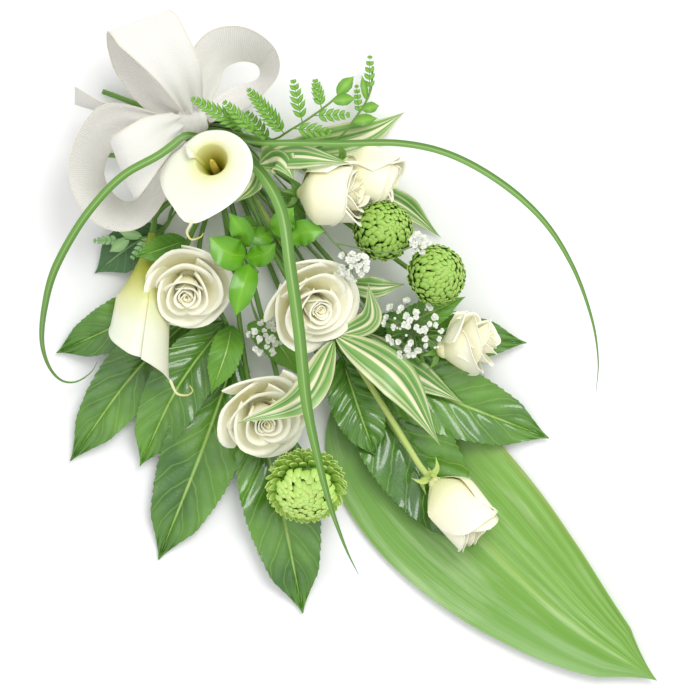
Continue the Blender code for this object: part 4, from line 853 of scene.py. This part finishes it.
def rose_petal(turn, half, belly, lip, foot, rise, curl, full):
    """Grid of one petal round the bloom's own axis, whose lip curls outward. It reaches the width of
    its belly at the share full of its height."""
    rows, columns = 18, 17
    v, u = np.meshgrid(np.linspace(0, 1, rows), np.linspace(-1, 1, columns), indexing="ij")
    phase = chance.uniform(0, 6.28, 2)
    stand = np.minimum(v / LIP_START, 1)
    swell = np.sin(np.minimum(stand / full, 1) * math.pi / 2)
    opening = lip - belly - 1.3 * curl
    radius = belly * (0.22 + 0.78 * swell) + opening * np.clip((stand - 0.35) / 0.65, 0, 1) ** 1.5
    radius = radius * (1 + 0.13 * u) + 0.07 * lip * np.sin(2.6 * u + phase[0]) * v ** 2
    angle = turn + math.radians(half) * u * (0.5 + 0.5 * swell)
    crest = 1 - 0.40 * np.abs(u) ** 3.2 * v + 0.02 * np.sin(5 * u + phase[1]) * v
    height = foot + (rise - foot - curl) * stand * crest
    bend = np.clip(v - LIP_START, 0, 1) / (1 - LIP_START) * (1.6 + 0.8 * np.abs(u) ** 1.5)
    out = np.maximum(curl * (1 - 0.75 * np.abs(u) ** 3), 0.02 * lip)
    radius = radius + out * (1 - np.cos(bend)) + 0.05 * lip * np.exp(-(u / 0.22) ** 2) * v ** 5
    height = height + out * np.sin(bend)
    return np.stack([radius * np.cos(angle), radius * np.sin(angle), height], axis=2)


for name, plan in ROSES.items():
    wide = plan["width"] / 2
    tall = plan["height"]
    base = np.array(plan["base"], float)
    rise_of_head = lift_at(name + "_bloom", base, 0.4) or 0.0
    opened = plan["open"]
    lean = OPEN_LEAN if opened == 1.0 else 1.0
    turn = axes_of(np.array(plan["face"]) * (lean, lean, 1), plan["spin"])
    layers, full = (OPEN_BLOOM, OPEN_FULL) if opened > HALF_OPEN else (BUD_BLOOM, BUD_FULL)
    parts = []
    for row, (count, belly, lip, rise, half, roll) in enumerate(layers):
        for k in range(count):
            angle = 2 * math.pi * (k / count + 0.38 * row) + chance.uniform(-0.22, 0.22)
            flare = belly + (lip - belly) * (opened if row == len(layers) - 1 else 1)
            scale = chance.uniform(0.93, 1.02)
            reach = wide * flare * chance.uniform(0.95, 1.02)
            curl = roll * wide * 0.22 * (0.5 + 0.5 * opened)
            grid = rose_petal(angle, half, wide * belly, reach, tall * 0.06, tall * rise * scale, curl, full)
            grid = grid @ turn.T + base + np.array((0, 0, rise_of_head))
            parts.append((as_shell(grid, PETAL_THICK), 0, (row / (len(layers) - 1)) ** 0.4))
    hip = as_tube([(0, 0, 0), (0, 0, tall * 0.05), (0, 0, tall * 0.16), (0, 0, tall * 0.3)],
                  (wide * 0.12, wide * 0.22, wide * 0.3, wide * 0.1), 14)
    parts.append(((hip[0] @ turn.T + base + np.array((0, 0, rise_of_head)), hip[1], hip[2]), 0, 0.5))
    build(name + "_petals", parts, [petal_ivory], [name + "_bloom"])

    away = -unit(plan["face"])
    start = base + away * 0.4
    radius = 2.5 if name == "rose_7" else 2.0
    path = [start, start + away * 12] + ROSE_LINES[name]
    line, knots, lifts = stem_line(name + "_stem", name, path, radius)
    lifts[:2] = rise_of_head
    parts = [(stem_tube(line, knots, lifts, radius, neck=wide * 0.15), 0, 0.0)]
    for k in range(SEPALS):
        way = turn @ np.array((math.cos(k * SEPAL_TURN), math.sin(k * SEPAL_TURN), 0))
        root = start + away * 1.0 + np.array((0, 0, rise_of_head))
        reach = 14 if name == "rose_7" else 13
        middle = root + way * reach * 0.62 + away * 1.5
        tip = root + way * reach + away * (-8 if name == "rose_7" and k % 2 else 9)
        grid = blade(smooth([root, middle, tip], 16), SEPAL_WIDTH, 6, 0.3, 0.8, 0.25, sharp=0.7, base=0.6)
        parts.append((as_shell(grid, PETAL_THICK), 0, 0.0))
    for spots, width in ROSE_LEAVES.get(name, ()):
        first = lift_near(line, knots, lifts, spots[0])
        middle = leaf_line(name + "_stem", spots, 5, 70, first)
        grid = blade(middle, width, 22, 0.45, 0.75, 0.2, 18, 0.10, wave=0.8, pairs=ROSE_LEAF_PAIRS, swell=0.5,
                     sharp=0.3)
        parts.append((as_shell(grid, PETAL_THICK), 1, 0.0))
    green = bud_green if name == "rose_7" else stem_green
    build(name + "_stalk", parts, [green, rose_leaf_green], [name + "_stem"])


# Calla lilies: one thick white spathe rolled into a funnel round a yellow spadix, on a stout smooth
# stem. The spathe overlaps itself at a seam, opens into a limb, and ends in a thin curled tail.

CALLAS = {
    "calla_1": dict(base=(22, 164, 44), axis=(0.14, 0.34, 1), aim=(-0.86, -0.51, 0.1), tube=42,
                    throat=13, tip=60, rise=10, line=[(25, 163, 28)]),
    "calla_2": dict(base=(-44, 172, 22), axis=(-0.80, -0.60, 0.12), aim=(0.6, -0.8, 0.1), tube=54,
                    throat=21, tip=30, rise=46, line=[(-26, 181, 14)]),
}
SPATHE_THICK = 0.7
SPATHE_FOOT = 3.4
CALLA_STEM = 2.4
# Share of the half spathe outside its rolled edge, and the turn of that roll in radians
ROLL_START = 0.72
ROLL_TURN = 4.2
# Calla spathe: grown fleshy under a thin wax, so a soft sheen on ivory, yellow-green in the throat, and
# veins along it, drawn 2 to 3 mm apart
spathe_ivory, tree, shader = new_finish("calla spathe", Roughness=0.4, IOR=1.42, Subsurface_Weight=0.25,
                                        Subsurface_Scale=0.004, Coat_Weight=0.1, Coat_Roughness=0.3)
place = add(tree, "ShaderNodeUVMap", uv_map="blade")
parts_of = add(tree, "ShaderNodeSeparateXYZ", {0: place.outputs[0]})
tint = add(tree, "ShaderNodeValToRGB", {"Fac": parts_of.outputs["Y"]},
           [(0.0, "#8FA32E"), (1.0, "#F2F0E2"), (0.3, "#B4B843"), (0.48, "#E0DE9A"), (0.66, "#F1EED6")])
tree.links.new(tint.outputs["Color"], shader.inputs["Base Color"])
ridges(tree, shader, place.outputs[0], (60.0, 2.0, 1.0), 2.0, 0.15, 0.0005)

# Spadix: a club grown all over with tiny matt flowers, seen as yellow grains of about 1 mm
spadix_yellow, tree, shader = new_finish("calla spadix", Roughness=0.7)
body = add(tree, "ShaderNodeTexCoord")
grains = add(tree, "ShaderNodeTexVoronoi", {"Vector": body.outputs["Object"]}, Scale=900.0)
tint = add(tree, "ShaderNodeValToRGB", {"Fac": grains.outputs["Distance"]},
           [(0.1, "#EFE07C"), (0.7, "#C9B040")])
tree.links.new(tint.outputs["Color"], shader.inputs["Base Color"])
bump = add(tree, "ShaderNodeBump", {"Height": grains.outputs["Distance"]}, Strength=0.6, Distance=0.0006,
           invert=True)
tree.links.new(bump.outputs[0], shader.inputs["Normal"])

# Turn of the seam and half turns round it, then the reach of the limb from the throat's axis and its
# rise over the throat, by the angle from the tip, and last the curl of the tail
LIMBS = {
    "calla_1": (75, 1.25,
                ((-150, 16, 2), (-110, 24, 3), (-85, 31, 3), (-62, 42, 3), (-35, 46, 4), (-14, 50, 7),
                 (0, 62, 9), (14, 50, 7), (35, 42, 4), (66, 36, 3), (110, 31, 3), (150, 26, 4), (190, 23, 3),
                 (241, 23, 1), (270, 26, 0), (300, 28, 0)),
                ((-6.6, -2.2, -2), (-8.3, -8.3, -4), (-2.2, -12.1, -4), (1.7, -11.6, -3))),
    "calla_2": (-120, 1.06,
                ((-311, 21, 47), (-270, 26, 46), (-225, 25, 36), (-180, 22, 23), (-135, 24, 34),
                 (-90, 25, 42), (-45, 25, 50), (-14, 27, 55), (0, 31, 60), (14, 28, 56), (45, 26, 52),
                 (71, 26, 48)),
                ((-3.3, -9.9, 0), (1.1, -16.5, 2), (6.6, -17.6, 5), (8.3, -12.7, 6))),
}

for name, plan in CALLAS.items():
    axis = unit(plan["axis"])
    aim = np.array(plan["aim"], float)
    aim = unit(aim - axis * aim.dot(axis))
    across = np.cross(axis, aim)
    base = np.array(plan["base"], float)
    foot = base + axis * 5
    line, knots, lifts = stem_line(name + "_stem", name, [foot, base - axis * 8] + plan["line"], CALLA_STEM)
    tip_spot = base + axis * (plan["tube"] + plan["rise"]) + aim * plan["tip"]
    rise_of_head = lift_at(name + "_spathe", tip_spot, 1.2)
    rise_of_head = lifts[1] if rise_of_head is None else rise_of_head
    lifts[:2] = rise_of_head
    base = base + np.array((0, 0, rise_of_head))
    rows, columns = 48, 81
    v, u = np.meshgrid(np.linspace(0, 1, rows), np.linspace(-1, 1, columns), indexing="ij")
    seam, span, limb, curl = LIMBS[name]
    angle = u * math.pi * span + math.radians(seam)
    point = ((1 + np.cos(angle)) / 2) ** 6
    spiral = 1 + (0.07 if name == "calla_1" else 0.03) * u
    lower = np.clip(v / 0.5, 0, 1)
    upper = np.clip((v - 0.5) / 0.5, 0, 1)
    turns, reaches, rises = zip(*limb)
    reach = np.interp(np.degrees(angle), turns, reaches)
    lift = np.interp(np.degrees(angle), turns, rises)
    for _ in range(3):
        reach[:, 1:-1] = (reach[:, :-2] + 2 * reach[:, 1:-1] + reach[:, 2:]) / 4
        lift[:, 1:-1] = (lift[:, :-2] + 2 * lift[:, 1:-1] + lift[:, 2:]) / 4
    tube = SPATHE_FOOT + (plan["throat"] - SPATHE_FOOT) * lower ** 1.6
    radius = (tube + (reach - plan["throat"]) * upper) * spiral
    height = plan["tube"] * lower + lift * np.sin(upper * math.pi / 2)
    lip = np.clip((upper - 0.8) / 0.2, 0, 1) ** 2
    height = height - 2.2 * lip * (1 - point)
    if name == "calla_1":
        rolled = np.clip((-ROLL_START - u) / (1 - ROLL_START), 0, 1) * ROLL_TURN
        tight = 1.6 + 3.2 * upper
        held = math.radians(seam) - ROLL_START * math.pi * span
        angle = np.where(u < -ROLL_START, held - tight * np.sin(rolled) / np.maximum(radius, 6), angle)
        height = height + tight * (1 - np.cos(rolled)) * lower
    grid = base + height[:, :, None] * axis
    grid = grid + (radius * np.cos(angle))[:, :, None] * aim + (radius * np.sin(angle))[:, :, None] * across
    grid[:, :, 2] = np.maximum(grid[:, :, 2], cloud(name + "_spathe")[:, 2].min() + LEAF_FLOOR)
    peak = np.argmin(np.abs(np.degrees(angle[-1])))
    tip = grid[-1, peak]
    tail = smooth([grid[-3, peak], tip] + [tip + np.array(step) for step in curl], 30)
    corners, faces, flat = as_tube(tail, np.linspace(1.3, 0.5, 30), 8)
    flat[:, 1] = 0.62 - 0.3 * flat[:, 1]
    parts = [(as_shell(grid, SPATHE_THICK), 0, 0.0), ((corners, faces, flat), 0, 0.0)]
    build(name + "_funnel", parts, [spathe_ivory], [name + "_spathe"])
    heart = base + axis * 6
    spike = smooth([heart, heart + axis * plan["tube"] * 0.5, heart + axis * plan["tube"] * 0.86], 12)
    thick = np.array([1.5, 2.2, 2.7, 2.9, 3.0, 3.0, 2.9, 2.8, 2.6, 2.2, 1.7, 0.8])
    build(name + "_club", [(as_tube(spike, thick, 14), 0, 0.0)], [spadix_yellow], [name + "_spadix"])
    parts = [(stem_tube(line, knots, lifts, CALLA_STEM, start=6.0, neck=3.0), 0, 0.0)]
    build(name + "_stalk", parts, [stem_green], [name + "_stem"])


# Green chrysanthemums: balls of many narrow petals that curl in over one another toward the crown. Two
# are grass green and one is a larger lime one, whose lowest petals flare out. Each has its own stem.

MUMS = {
    "mum_1": dict(middle=(83, 47, 48), face=(0.30, -0.15, 1), size=(24, 20), lime=False,
                  line=[(74, 66, 24)]),
    "mum_2": dict(middle=(88, -6, 40), face=(0.55, -0.25, 1), size=(24, 20), lime=False,
                  line=[(76, 18, 18)]),
    "mum_3": dict(middle=(-98, -50, 38), face=(-0.45, -0.45, 1), size=(30, 22), lime=True,
                  line=[(-82, -22, 18)]),
}


def mum_finish(name, foot, body_colour, tip):
    """Chrysanthemum petal: soft and matt, with grooves along it about 1 mm apart, and darker where it
    goes in between the others."""
    finish, tree, shader = new_finish(name, Roughness=0.5, Subsurface_Weight=0.15, Subsurface_Scale=0.002)
    place = add(tree, "ShaderNodeUVMap", uv_map="blade")
    ways = add(tree, "ShaderNodeSeparateXYZ", {0: place.outputs[0]})
    tint = add(tree, "ShaderNodeValToRGB", {"Fac": ways.outputs["Y"]},
               [(0.1, foot), (1.0, tip), (0.6, body_colour)])
    tree.links.new(tint.outputs["Color"], shader.inputs["Base Color"])
    ridges(tree, shader, place.outputs[0], (5.0, 1.0, 1.0), 1.0, 0.4, 0.0005)
    return finish


# The two kinds differ in colour alone: both were grown soft and grooved, so they are matt
mum_green = mum_finish("green chrysanthemum petal", "#5A9226", "#8FBC4C", "#AFD069")
mum_lime = mum_finish("lime chrysanthemum petal", "#6E9E2C", "#B4DB62", "#D3EE8C")
MUM_PETALS = 260
# Angle from one petal to the next round the crown, in radians
GOLDEN_TURN = 2.39996
# How far out the petals' feet lie, as a share of the ball's size
MUM_CORE = 0.66
# Size of a head over that of the CAD's core, at whose lower end the stem starts
MUM_SPREAD = 1.36
# Angle from the crown past which the petals of the lime kind flare out
FLARE_FALL = 1.3
MUM_PETAL_HALF = 2.35
MUM_PETAL_THICK = 0.5
MUM_PETAL_SHAPE = np.array([0.4, 0.6, 0.8, 0.95, 1.0, 0.98, 0.85, 0.6, 0.22])

for name, plan in MUMS.items():
    turn = axes_of(plan["face"])
    wide, tall = plan["size"]
    middle = np.array(plan["middle"], float)
    away = -unit(plan["face"])
    pole = middle + away * tall / MUM_SPREAD
    rise_of_head = lift_at(name + "_head", pole, 0.3)
    rise_of_head = 0.0 if rise_of_head is None else rise_of_head
    middle = middle + np.array((0, 0, rise_of_head))
    size = np.array((wide, wide, tall))
    lime = plan["lime"]
    columns = np.array([-1.0, -0.5, 0.0, 0.5, 1.0])
    parts = []
    for k in range(MUM_PETALS):
        share = (k + 0.5) / MUM_PETALS
        fall = math.acos(1 - 1.82 * share) * chance.uniform(0.97, 1.03)
        spin = k * GOLDEN_TURN + chance.uniform(-0.05, 0.05)
        out = np.array((math.sin(fall) * math.cos(spin), math.sin(fall) * math.sin(spin), math.cos(fall)))
        crown = unit(np.array((0, 0, 1.0)) - out * out[2]) if fall > 0.02 else np.array((1.0, 0, 0))
        length = (7.5 + 6.0 * math.sin(min(fall, 1.6))) * (wide / 24) * chance.uniform(0.85, 1.15)
        flare = 0.5 if lime and fall > FLARE_FALL else 0.0
        aside = np.cross(out, crown) * chance.uniform(-2.0, 2.0)
        root = out * size * MUM_CORE
        top = out * size * (0.90 + 0.1 * flare) + crown * length * (0.30 - 0.3 * flare) + aside * 0.5
        outward = out * size * (chance.uniform(0.90, 1.0) + 0.3 * flare)
        end = outward + crown * length * (0.80 - 0.9 * flare) + aside
        limit = np.linalg.norm(end / size)
        end = end / max(1.0, limit / (1 + 0.12 * flare))
        row = smooth([root, top, end], 9)
        side = unit(np.cross(out, crown))
        half = MUM_PETAL_HALF * wide / 24 * MUM_PETAL_SHAPE
        grid = row[:, None, :] + (half[:, None] * columns[None, :])[:, :, None] * side
        grid = grid - (0.5 * (columns ** 2)[None, :] * half[:, None])[:, :, None] * out
        grid = grid @ turn.T + middle
        parts.append((as_shell(grid, MUM_PETAL_THICK), 0, 0.0))
    levels = (-tall * 0.66, -tall * 0.5, 0, tall * 0.45, tall * 0.62)
    heart = as_tube([(0, 0, level) for level in levels],
                    (wide * 0.2, wide * 0.45, wide * MUM_CORE, wide * 0.45, wide * 0.1), 20)
    parts.append(((heart[0] @ turn.T + middle, heart[1], heart[2] * (1, 0)), 0, 0.0))
    build(name + "_petals", parts, [mum_lime if lime else mum_green], [name + "_head"])
    foot = np.array(plan["middle"], float) + away * (tall / MUM_SPREAD + 0.3)
    line, knots, lifts = stem_line(name + "_stem", name, [foot, foot + away * 8] + plan["line"], 2.0)
    lifts[:2] = rise_of_head
    build(name + "_stalk", [(stem_tube(line, knots, lifts, 2.0), 0, 0.0)], [stem_green], [name + "_stem"])


# Gypsophila: wiry branched twigs that end in clouds of small double white florets and round buds. They
# stand between the roses, and each twig's own stem goes down to the tie.

GYPSOPHILA = {
    "gypsophila_1": dict(line=[(52, 44, 50), (50, 66, 40)],
                         puffs=((48, 44, 58, 10, 8), (95, 20, 48, 7, 3))),
    "gypsophila_2": dict(line=[(-36, 58, 36), (-28, 80, 28)],
                         puffs=((-40, 54, 42, 12, 6),)),
    "gypsophila_3": dict(line=[(44, -14, 34), (30, 12, 30)],
                         puffs=((46, -23, 38, 21, 12),)),
}
# Gypsophila petal: grown papery thin, with no wax, so a flat matt white, with grey spots of 2 mm
# painted in as shade
floret_white, tree, shader = new_finish("gypsophila petal", Roughness=0.6)
body = add(tree, "ShaderNodeTexCoord")
mottle = add(tree, "ShaderNodeTexNoise", {"Vector": body.outputs["Object"]}, Scale=500.0, Detail=2.0)
# Grey spots of painted shade on the white
tint = add(tree, "ShaderNodeValToRGB", {"Fac": mottle.outputs["Fac"]}, [(0.3, "#D9DDCF"), (0.6, "#F0F2E8")])
tree.links.new(tint.outputs["Color"], shader.inputs["Base Color"])
# Gypsophila twig: thin, wiry and greyer than the flower stems
twig_green = stem_finish("gypsophila twig", "#5E7A45", "#93AA72")
# Petals, reach and opening of each ring of a floret, from the outside inward
FLORET_RINGS = ((6, 1.0, 1.15), (5, 0.78, 0.7), (4, 0.5, 0.3))
FLORET_THICK = 0.18
# Twig ends for each floret of the CAD, how much wider their cloud is, and the angle between them
FLORETS_SHOWN = 4.4
PUFF_SPREAD = 1.15
TWIG_TURN = 2.3999


def floret(spot, way, size):
    """Double floret: three rings of small ruffled petals on a green cup."""
    turn = axes_of(way, chance.uniform(0, 360))
    shapes = []
    rise = np.array((0, 0, 1.0))
    for count, reach, open_angle in FLORET_RINGS:
        for k in range(count):
            angle = 2 * math.pi * (k + chance.uniform(-0.2, 0.2)) / count
            out = np.array((math.cos(angle), math.sin(angle), 0))
            aside = np.array((-math.sin(angle), math.cos(angle), 0))
            length = size * reach * chance.uniform(0.75, 1.15)
            tilt = open_angle * chance.uniform(0.8, 1.2)
            ends = [0, length * 0.5, length]
            heights = [0, length * 0.5 * math.cos(tilt * 0.6), length * 0.8 * math.cos(tilt)]
            grid = np.array([[out * e * math.sin(tilt) + rise * h + aside * w * length * s
                              + rise * 0.4 * abs(w) * length * (e > 0)
                              for w in (-0.5, 0.0, 0.5)]
                             for e, h, s in zip(ends, heights, (0.25, 1.0, 0.8))])
            corners, faces, flat = as_shell(grid, FLORET_THICK)
            shapes.append((corners @ turn.T + spot, faces, flat))
    return shapes


for name, plan in GYPSOPHILA.items():
    line, knots, lifts = stem_line(name, name, plan["line"], 0.9)
    lift = np.array((0, 0, lifts[0]))
    parts = [(stem_tube(line, knots, lifts, 0.8), 1, 0.0)]
    for x, y, z, reach, count in plan["puffs"]:
        node = np.array((x, y, z - reach * 0.35)) + lift
        fork = np.array(plan["line"][0], float) + lift
        root = np.array(plan["line"][1], float) + lift
        parts.append((as_tube(smooth([root, (fork + node) / 2, node], 8), 0.6, 6), 1, 0.0))
        reach *= PUFF_SPREAD
        many = round(count * FLORETS_SHOWN)
        for k in range(many):
            angle = k * TWIG_TURN + chance.uniform(-0.5, 0.5)
            ring = reach * math.sqrt(min(1, (k + 0.5) / many * chance.uniform(0.7, 1.3)))
            crown = z + reach * 0.35 * (1 - (ring / reach) ** 2) + chance.uniform(-3, 1.5)
            tip = np.array((x + ring * math.cos(angle), y + ring * math.sin(angle), crown)) + lift
            lean = unit(tip - node)
            bend = (node + tip) / 2 + chance.uniform(-1.5, 1.5, 3)
            parts.append((as_tube(smooth([node, bend, tip - lean], 6), 0.32, 5), 1, 0.0))
            if k % 5 == 4:
                bud = [tip - lean * 1.2, tip - lean * 0.6, tip, tip + lean * 0.7, tip + lean * 1.0]
                parts.append((as_tube(bud, (0.4, 1.0, 1.2, 0.9, 0.2), 8), 0, 0.0))
            else:
                up = unit(lean + np.array((0, 0, 0.8)))
                parts += [(shape, 0, 0.0) for shape in floret(tip, up, chance.uniform(2.0, 3.4))]
    build(name + "_florets", parts, [floret_white, twig_green], [name])


# Lily grass: three long narrow blades, keeled along the middle and springy, that rise from the tie
# under the bow and arch over the flowers to their thin tips.

GRASSES = {
    "lily_grass_1": dict(
        slot="grass_a", width=6,
        line=[(-145, 132, 26), (-155, 130, 16), (-168, 133, 16), (-175, 142, 24), (-173, 156, 42),
              (-162, 172, 68), (-142, 187, 94), (-116, 201, 112), (-81, 211, 122), (-50, 215, 124),
              (-25, 214, 124), (0, 207, 120), (14, 205, 112), (22, 205, 96), (28, 204, 76), (33, 199, 54),
              (39, 188, 38)]),
    "lily_grass_2": dict(
        slot="grass_b", width=9,
        line=[(-118, -127, 34), (-110, -105, 50), (-94, -72, 78), (-73, -37, 94), (-51, -4, 104),
              (-16, 39, 108), (12, 76, 108), (37, 110, 100), (47, 140, 82), (47, 166, 46)]),
    "lily_grass_3": dict(
        slot="grass_c", width=5,
        line=[(112, -158, 22), (130, -141, 40), (148, -115, 60), (165, -77, 78), (174, -36, 88),
              (172, 7, 90), (160, 50, 90), (139, 84, 88), (106, 117, 86), (82, 142, 84), (66, 158, 80),
              (57, 172, 56)]),
}
# Lily grass blade: grown smooth, with close veins along it, so satin mid green, lighter on its keel
grass_green = lined_leaf(
    "lily grass skin",
    [(0.0, "#67993C"), (1.0, "#5C8C34"), (0.40, "#7BA851"), (0.5, "#A4C57C"), (0.6, "#75A34B")],
    7.2, 0.6, 0.38, 0.1, 0.01)
GRASS_THICK = 0.4
GRASS_STEP = 4

for name, plan in GRASSES.items():
    line, knots, lifts = stem_line(name, plan["slot"], plan["line"], 0.4)
    rings = at_runs(line, knots)
    lifts = filled([lift_at(name, spot, plan["width"] / 2 + 0.6, 1.5) for spot in rings])
    end = measure(line)[-1]
    runs = np.linspace(0, end, int(end / GRASS_STEP))
    middle = raised(line, knots, lifts, runs)
    way = np.gradient(middle, axis=0)
    columns = np.linspace(-1, 1, 9)
    grid = np.empty((len(runs), len(columns), 3))
    for k in range(len(runs)):
        v = k / (len(runs) - 1)
        ahead = unit(way[k])
        side = unit(np.cross(ahead, (0, 0, 1)))
        up = np.cross(side, ahead)
        waist = 1 if v < 0.7 else max(0.45, 1 - 2.2 * (v - 0.7))
        half = plan["width"] / 2 * min(1, 0.03 + 2.6 * v) * waist
        grid[k] = middle[k] + np.outer(columns * half, side) + np.outer(0.5 * np.abs(columns) * half, up)
    parts = [(as_shell(grid, GRASS_THICK), 0, chance.uniform(0, 9))]
    build(name + "_blade", parts, [grass_green], [name])


# Bow: 50 mm woven cotton ribbon folded into four loops and a tail, gathered in the middle and held by
# a turn of a narrower strip of itself, which ties it down over the binding.

BOW_KNOT = (37, 211, 49)
# Place of each station along a loop and half the ribbon's width there, as a vector
BOW_LOOPS = {
    "top": [((40, 214, 41), (9, -3, 0)), ((34, 240, 44), (20, -6, 0)), ((44, 272, 50), (25, -9, 0)),
            ((60, 290, 66), (23, -11, 0)), ((64, 291, 88), (22, -10, 0)), ((62, 268, 100), (24, -8, 2)),
            ((57, 240, 90), (20, -7, 2)), ((46, 216, 58), (8, -3, 0))],
    "right": [((46, 212, 50), (1, 7, 4)), ((68, 228, 58), (2, 14, 12)), ((90, 235, 62), (4, 16, 15)),
              ((108, 224, 60), (10, 8, 19)), ((114, 205, 54), (8, -3, 22)), ((103, 193, 50), (2, -8, 20)),
              ((78, 198, 47), (0, -11, 14)), ((48, 208, 46), (0, -6, 5))],
    "left": [((30, 214, 44), (3, 7, 2)), ((2, 248, 52), (3, 16, 16)), ((-24, 253, 54), (-3, 13, 20)),
             ((-48, 240, 52), (-10, 8, 20)), ((-57, 216, 50), (-13, -1, 20)), ((-50, 196, 48), (-8, -9, 20)),
             ((-28, 190, 46), (-2, -10, 18)), ((24, 206, 43), (2, -7, 3))],
    "centre": [((26, 210, 50), (4, 7, 1)), ((6, 214, 62), (8, 20, 4)), ((-14, 218, 76), (9, 22, 5)),
               ((-26, 220, 94), (9, 22, 6)), ((-16, 219, 108), (9, 23, 6)), ((8, 219, 102), (6, 18, 5)),
               ((31, 216, 68), (4, 8, 2))],
    "tail": [((34, 212, 42), (4, 5, 2)), ((10, 244, 42), (3, 2, 12)), ((-4, 270, 46), (4, 3, 13)),
             ((-11, 289, 54), (5, 4, 12))],
}
BOW_STEPS = 11
RIBBON_THICK = 0.45
KNOT_LENGTH = 66.0
KNOT_RADIUS = 10.5
KNOT_HALF = 12
# One rib across the ribbon in this many millimetres, drawn coarser than it is
RIB_PITCH = 1.4
# Share of a loop's length over which its gathers fade
GATHER_REACH = 0.10
GATHER_DEPTH = 3.0
BILLOW = 0.7

# Off-white ribbed ribbon: woven with a thick weft, so matt ribs across it, and a cream selvedge about
# 1.5 mm wide on each edge. Its threads are drawn 900 to the metre, coarser than they are.
ribbon_cloth, tree, shader = new_finish("ribbed cotton ribbon", Roughness=0.8, Sheen_Weight=0.25)
place = add(tree, "ShaderNodeUVMap", uv_map="blade")
ways = add(tree, "ShaderNodeSeparateXYZ", {0: place.outputs[0]})
length_of = add(tree, "ShaderNodeAttribute", attribute_name="tone")
count_of = add(tree, "ShaderNodeMath", {0: length_of.outputs["Fac"]}, operation="DIVIDE", _1=RIB_PITCH)
turns = add(tree, "ShaderNodeMath", {0: ways.outputs["Y"], 1: count_of.outputs[0]}, operation="MULTIPLY")
angle_of = add(tree, "ShaderNodeMath", {0: turns.outputs[0]}, operation="MULTIPLY", _1=6.28318)
ribs = add(tree, "ShaderNodeMath", {0: angle_of.outputs[0]}, operation="SINE")
middle_of = add(tree, "ShaderNodeMath", {0: ways.outputs["X"]}, operation="SUBTRACT", _1=0.5)
aside_of = add(tree, "ShaderNodeMath", {0: middle_of.outputs[0]}, operation="ABSOLUTE")
selvedge = add(tree, "ShaderNodeValToRGB", {"Fac": aside_of.outputs[0]},
               [(0.468, "#F0EEE8"), (0.476, "#E9E3D0"), (0.5, "#EEE9DA")])
shade = add(tree, "ShaderNodeValToRGB", {"Fac": ribs.outputs[0]}, [(0.0, 0.93), (0.6, 1.0)])
whole = add(tree, "ShaderNodeMixRGB", {"Color1": selvedge.outputs["Color"], "Color2": shade.outputs["Color"]},
            blend_type="MULTIPLY", Fac=1.0)
tree.links.new(whole.outputs[0], shader.inputs["Base Color"])
body = add(tree, "ShaderNodeTexCoord")
threads = add(tree, "ShaderNodeTexNoise", {"Vector": body.outputs["Object"]}, Scale=900.0, Detail=2.0)
woven = add(tree, "ShaderNodeMath", {0: threads.outputs["Fac"], 2: ribs.outputs[0]},
            operation="MULTIPLY_ADD", _1=0.8)
bump = add(tree, "ShaderNodeBump", {"Height": woven.outputs[0]}, Strength=0.35, Distance=0.0004)
tree.links.new(bump.outputs[0], shader.inputs["Normal"])

first_loop = smooth([spot for spot, _ in BOW_LOOPS["top"]], BOW_STEPS + 1)
bow_lift = filled([lift_at("bow_ribbon", first_loop[k], 0.9) for k in (3, 4, 5, 6)]).mean()
for name, stations in BOW_LOOPS.items():
    tail = name == "tail"
    rows, columns = (50, 25) if tail else (90, 25)
    middles = smooth([spot for spot, _ in stations], rows)
    halves = smooth([half for _, half in stations], rows)
    v = np.linspace(0, 1, rows)
    u = np.linspace(-1, 1, columns)
    ends = np.exp(-v / GATHER_REACH) + (0 if tail else np.exp(-(1 - v) / GATHER_REACH))
    grid = middles[:, None, :] + u[None, :, None] * halves[:, None, :]
    way = np.gradient(middles, axis=0)
    normal = np.cross(halves, way)
    normal /= np.linalg.norm(normal, axis=1, keepdims=True)
    pleat = ends[:, None] * GATHER_DEPTH * np.sin(u * 7.5 + 1.0)[None, :]
    billow = BILLOW * np.sin(9 * v + 1.3)[:, None] * np.cos(2.2 * u)[None, :]
    grid = grid + (pleat + billow)[:, :, None] * normal[:, None, :]
    grid[:, :, 2] += bow_lift
    length = measure(middles)[-1]
    shape = as_shell(grid, RIBBON_THICK)
    part = build("bow_" + name, [(shape, 0, length)], [ribbon_cloth], ["bow_ribbon"])
u, v = np.meshgrid(np.linspace(0, 2 * math.pi, 61), np.linspace(-1, 1, 21))
swell = np.sqrt(np.clip(1 - v ** 2 * 0.55, 0, 1)) * (1 + 0.05 * np.sin(v * 14 + np.sin(u) * 1.5))
knot = np.stack([v * KNOT_HALF, np.cos(u) * KNOT_RADIUS * swell, np.sin(u) * KNOT_RADIUS * swell], axis=2)
knot = knot @ axes_of((0.3, 0.2, 1), 25).T + np.array(BOW_KNOT) + np.array((0, 0, bow_lift))
shape = as_shell(knot, RIBBON_THICK)
part = build("bow_knot", [(shape, 0, KNOT_LENGTH)], [ribbon_cloth], ["bow_ribbon"])


# Binding: a flat band of bast pulled round all the stems and tied under the bow, which hides most of
# it. It is shown by its own CAD band, so only its finish is made here.

# Bast: stripped from bark and dried, so coarse pale brown fibres about 1 mm wide along it, all matt
bast, tree, shader = new_finish("bast binding band", Roughness=0.75)
body = add(tree, "ShaderNodeTexCoord")
fibres = ridges(tree, shader, body.outputs["Object"], (300.0, 900.0, 500.0), 3.0, 0.5, 0.0005)
tint = add(tree, "ShaderNodeValToRGB", {"Fac": fibres}, [(0.3, "#A8956A"), (0.7, "#CDBE95")])
tree.links.new(tint.outputs["Color"], shader.inputs["Base Color"])
for slot in frame["nodes"]["binding_tie"].material_slots:
    slot.material = bast
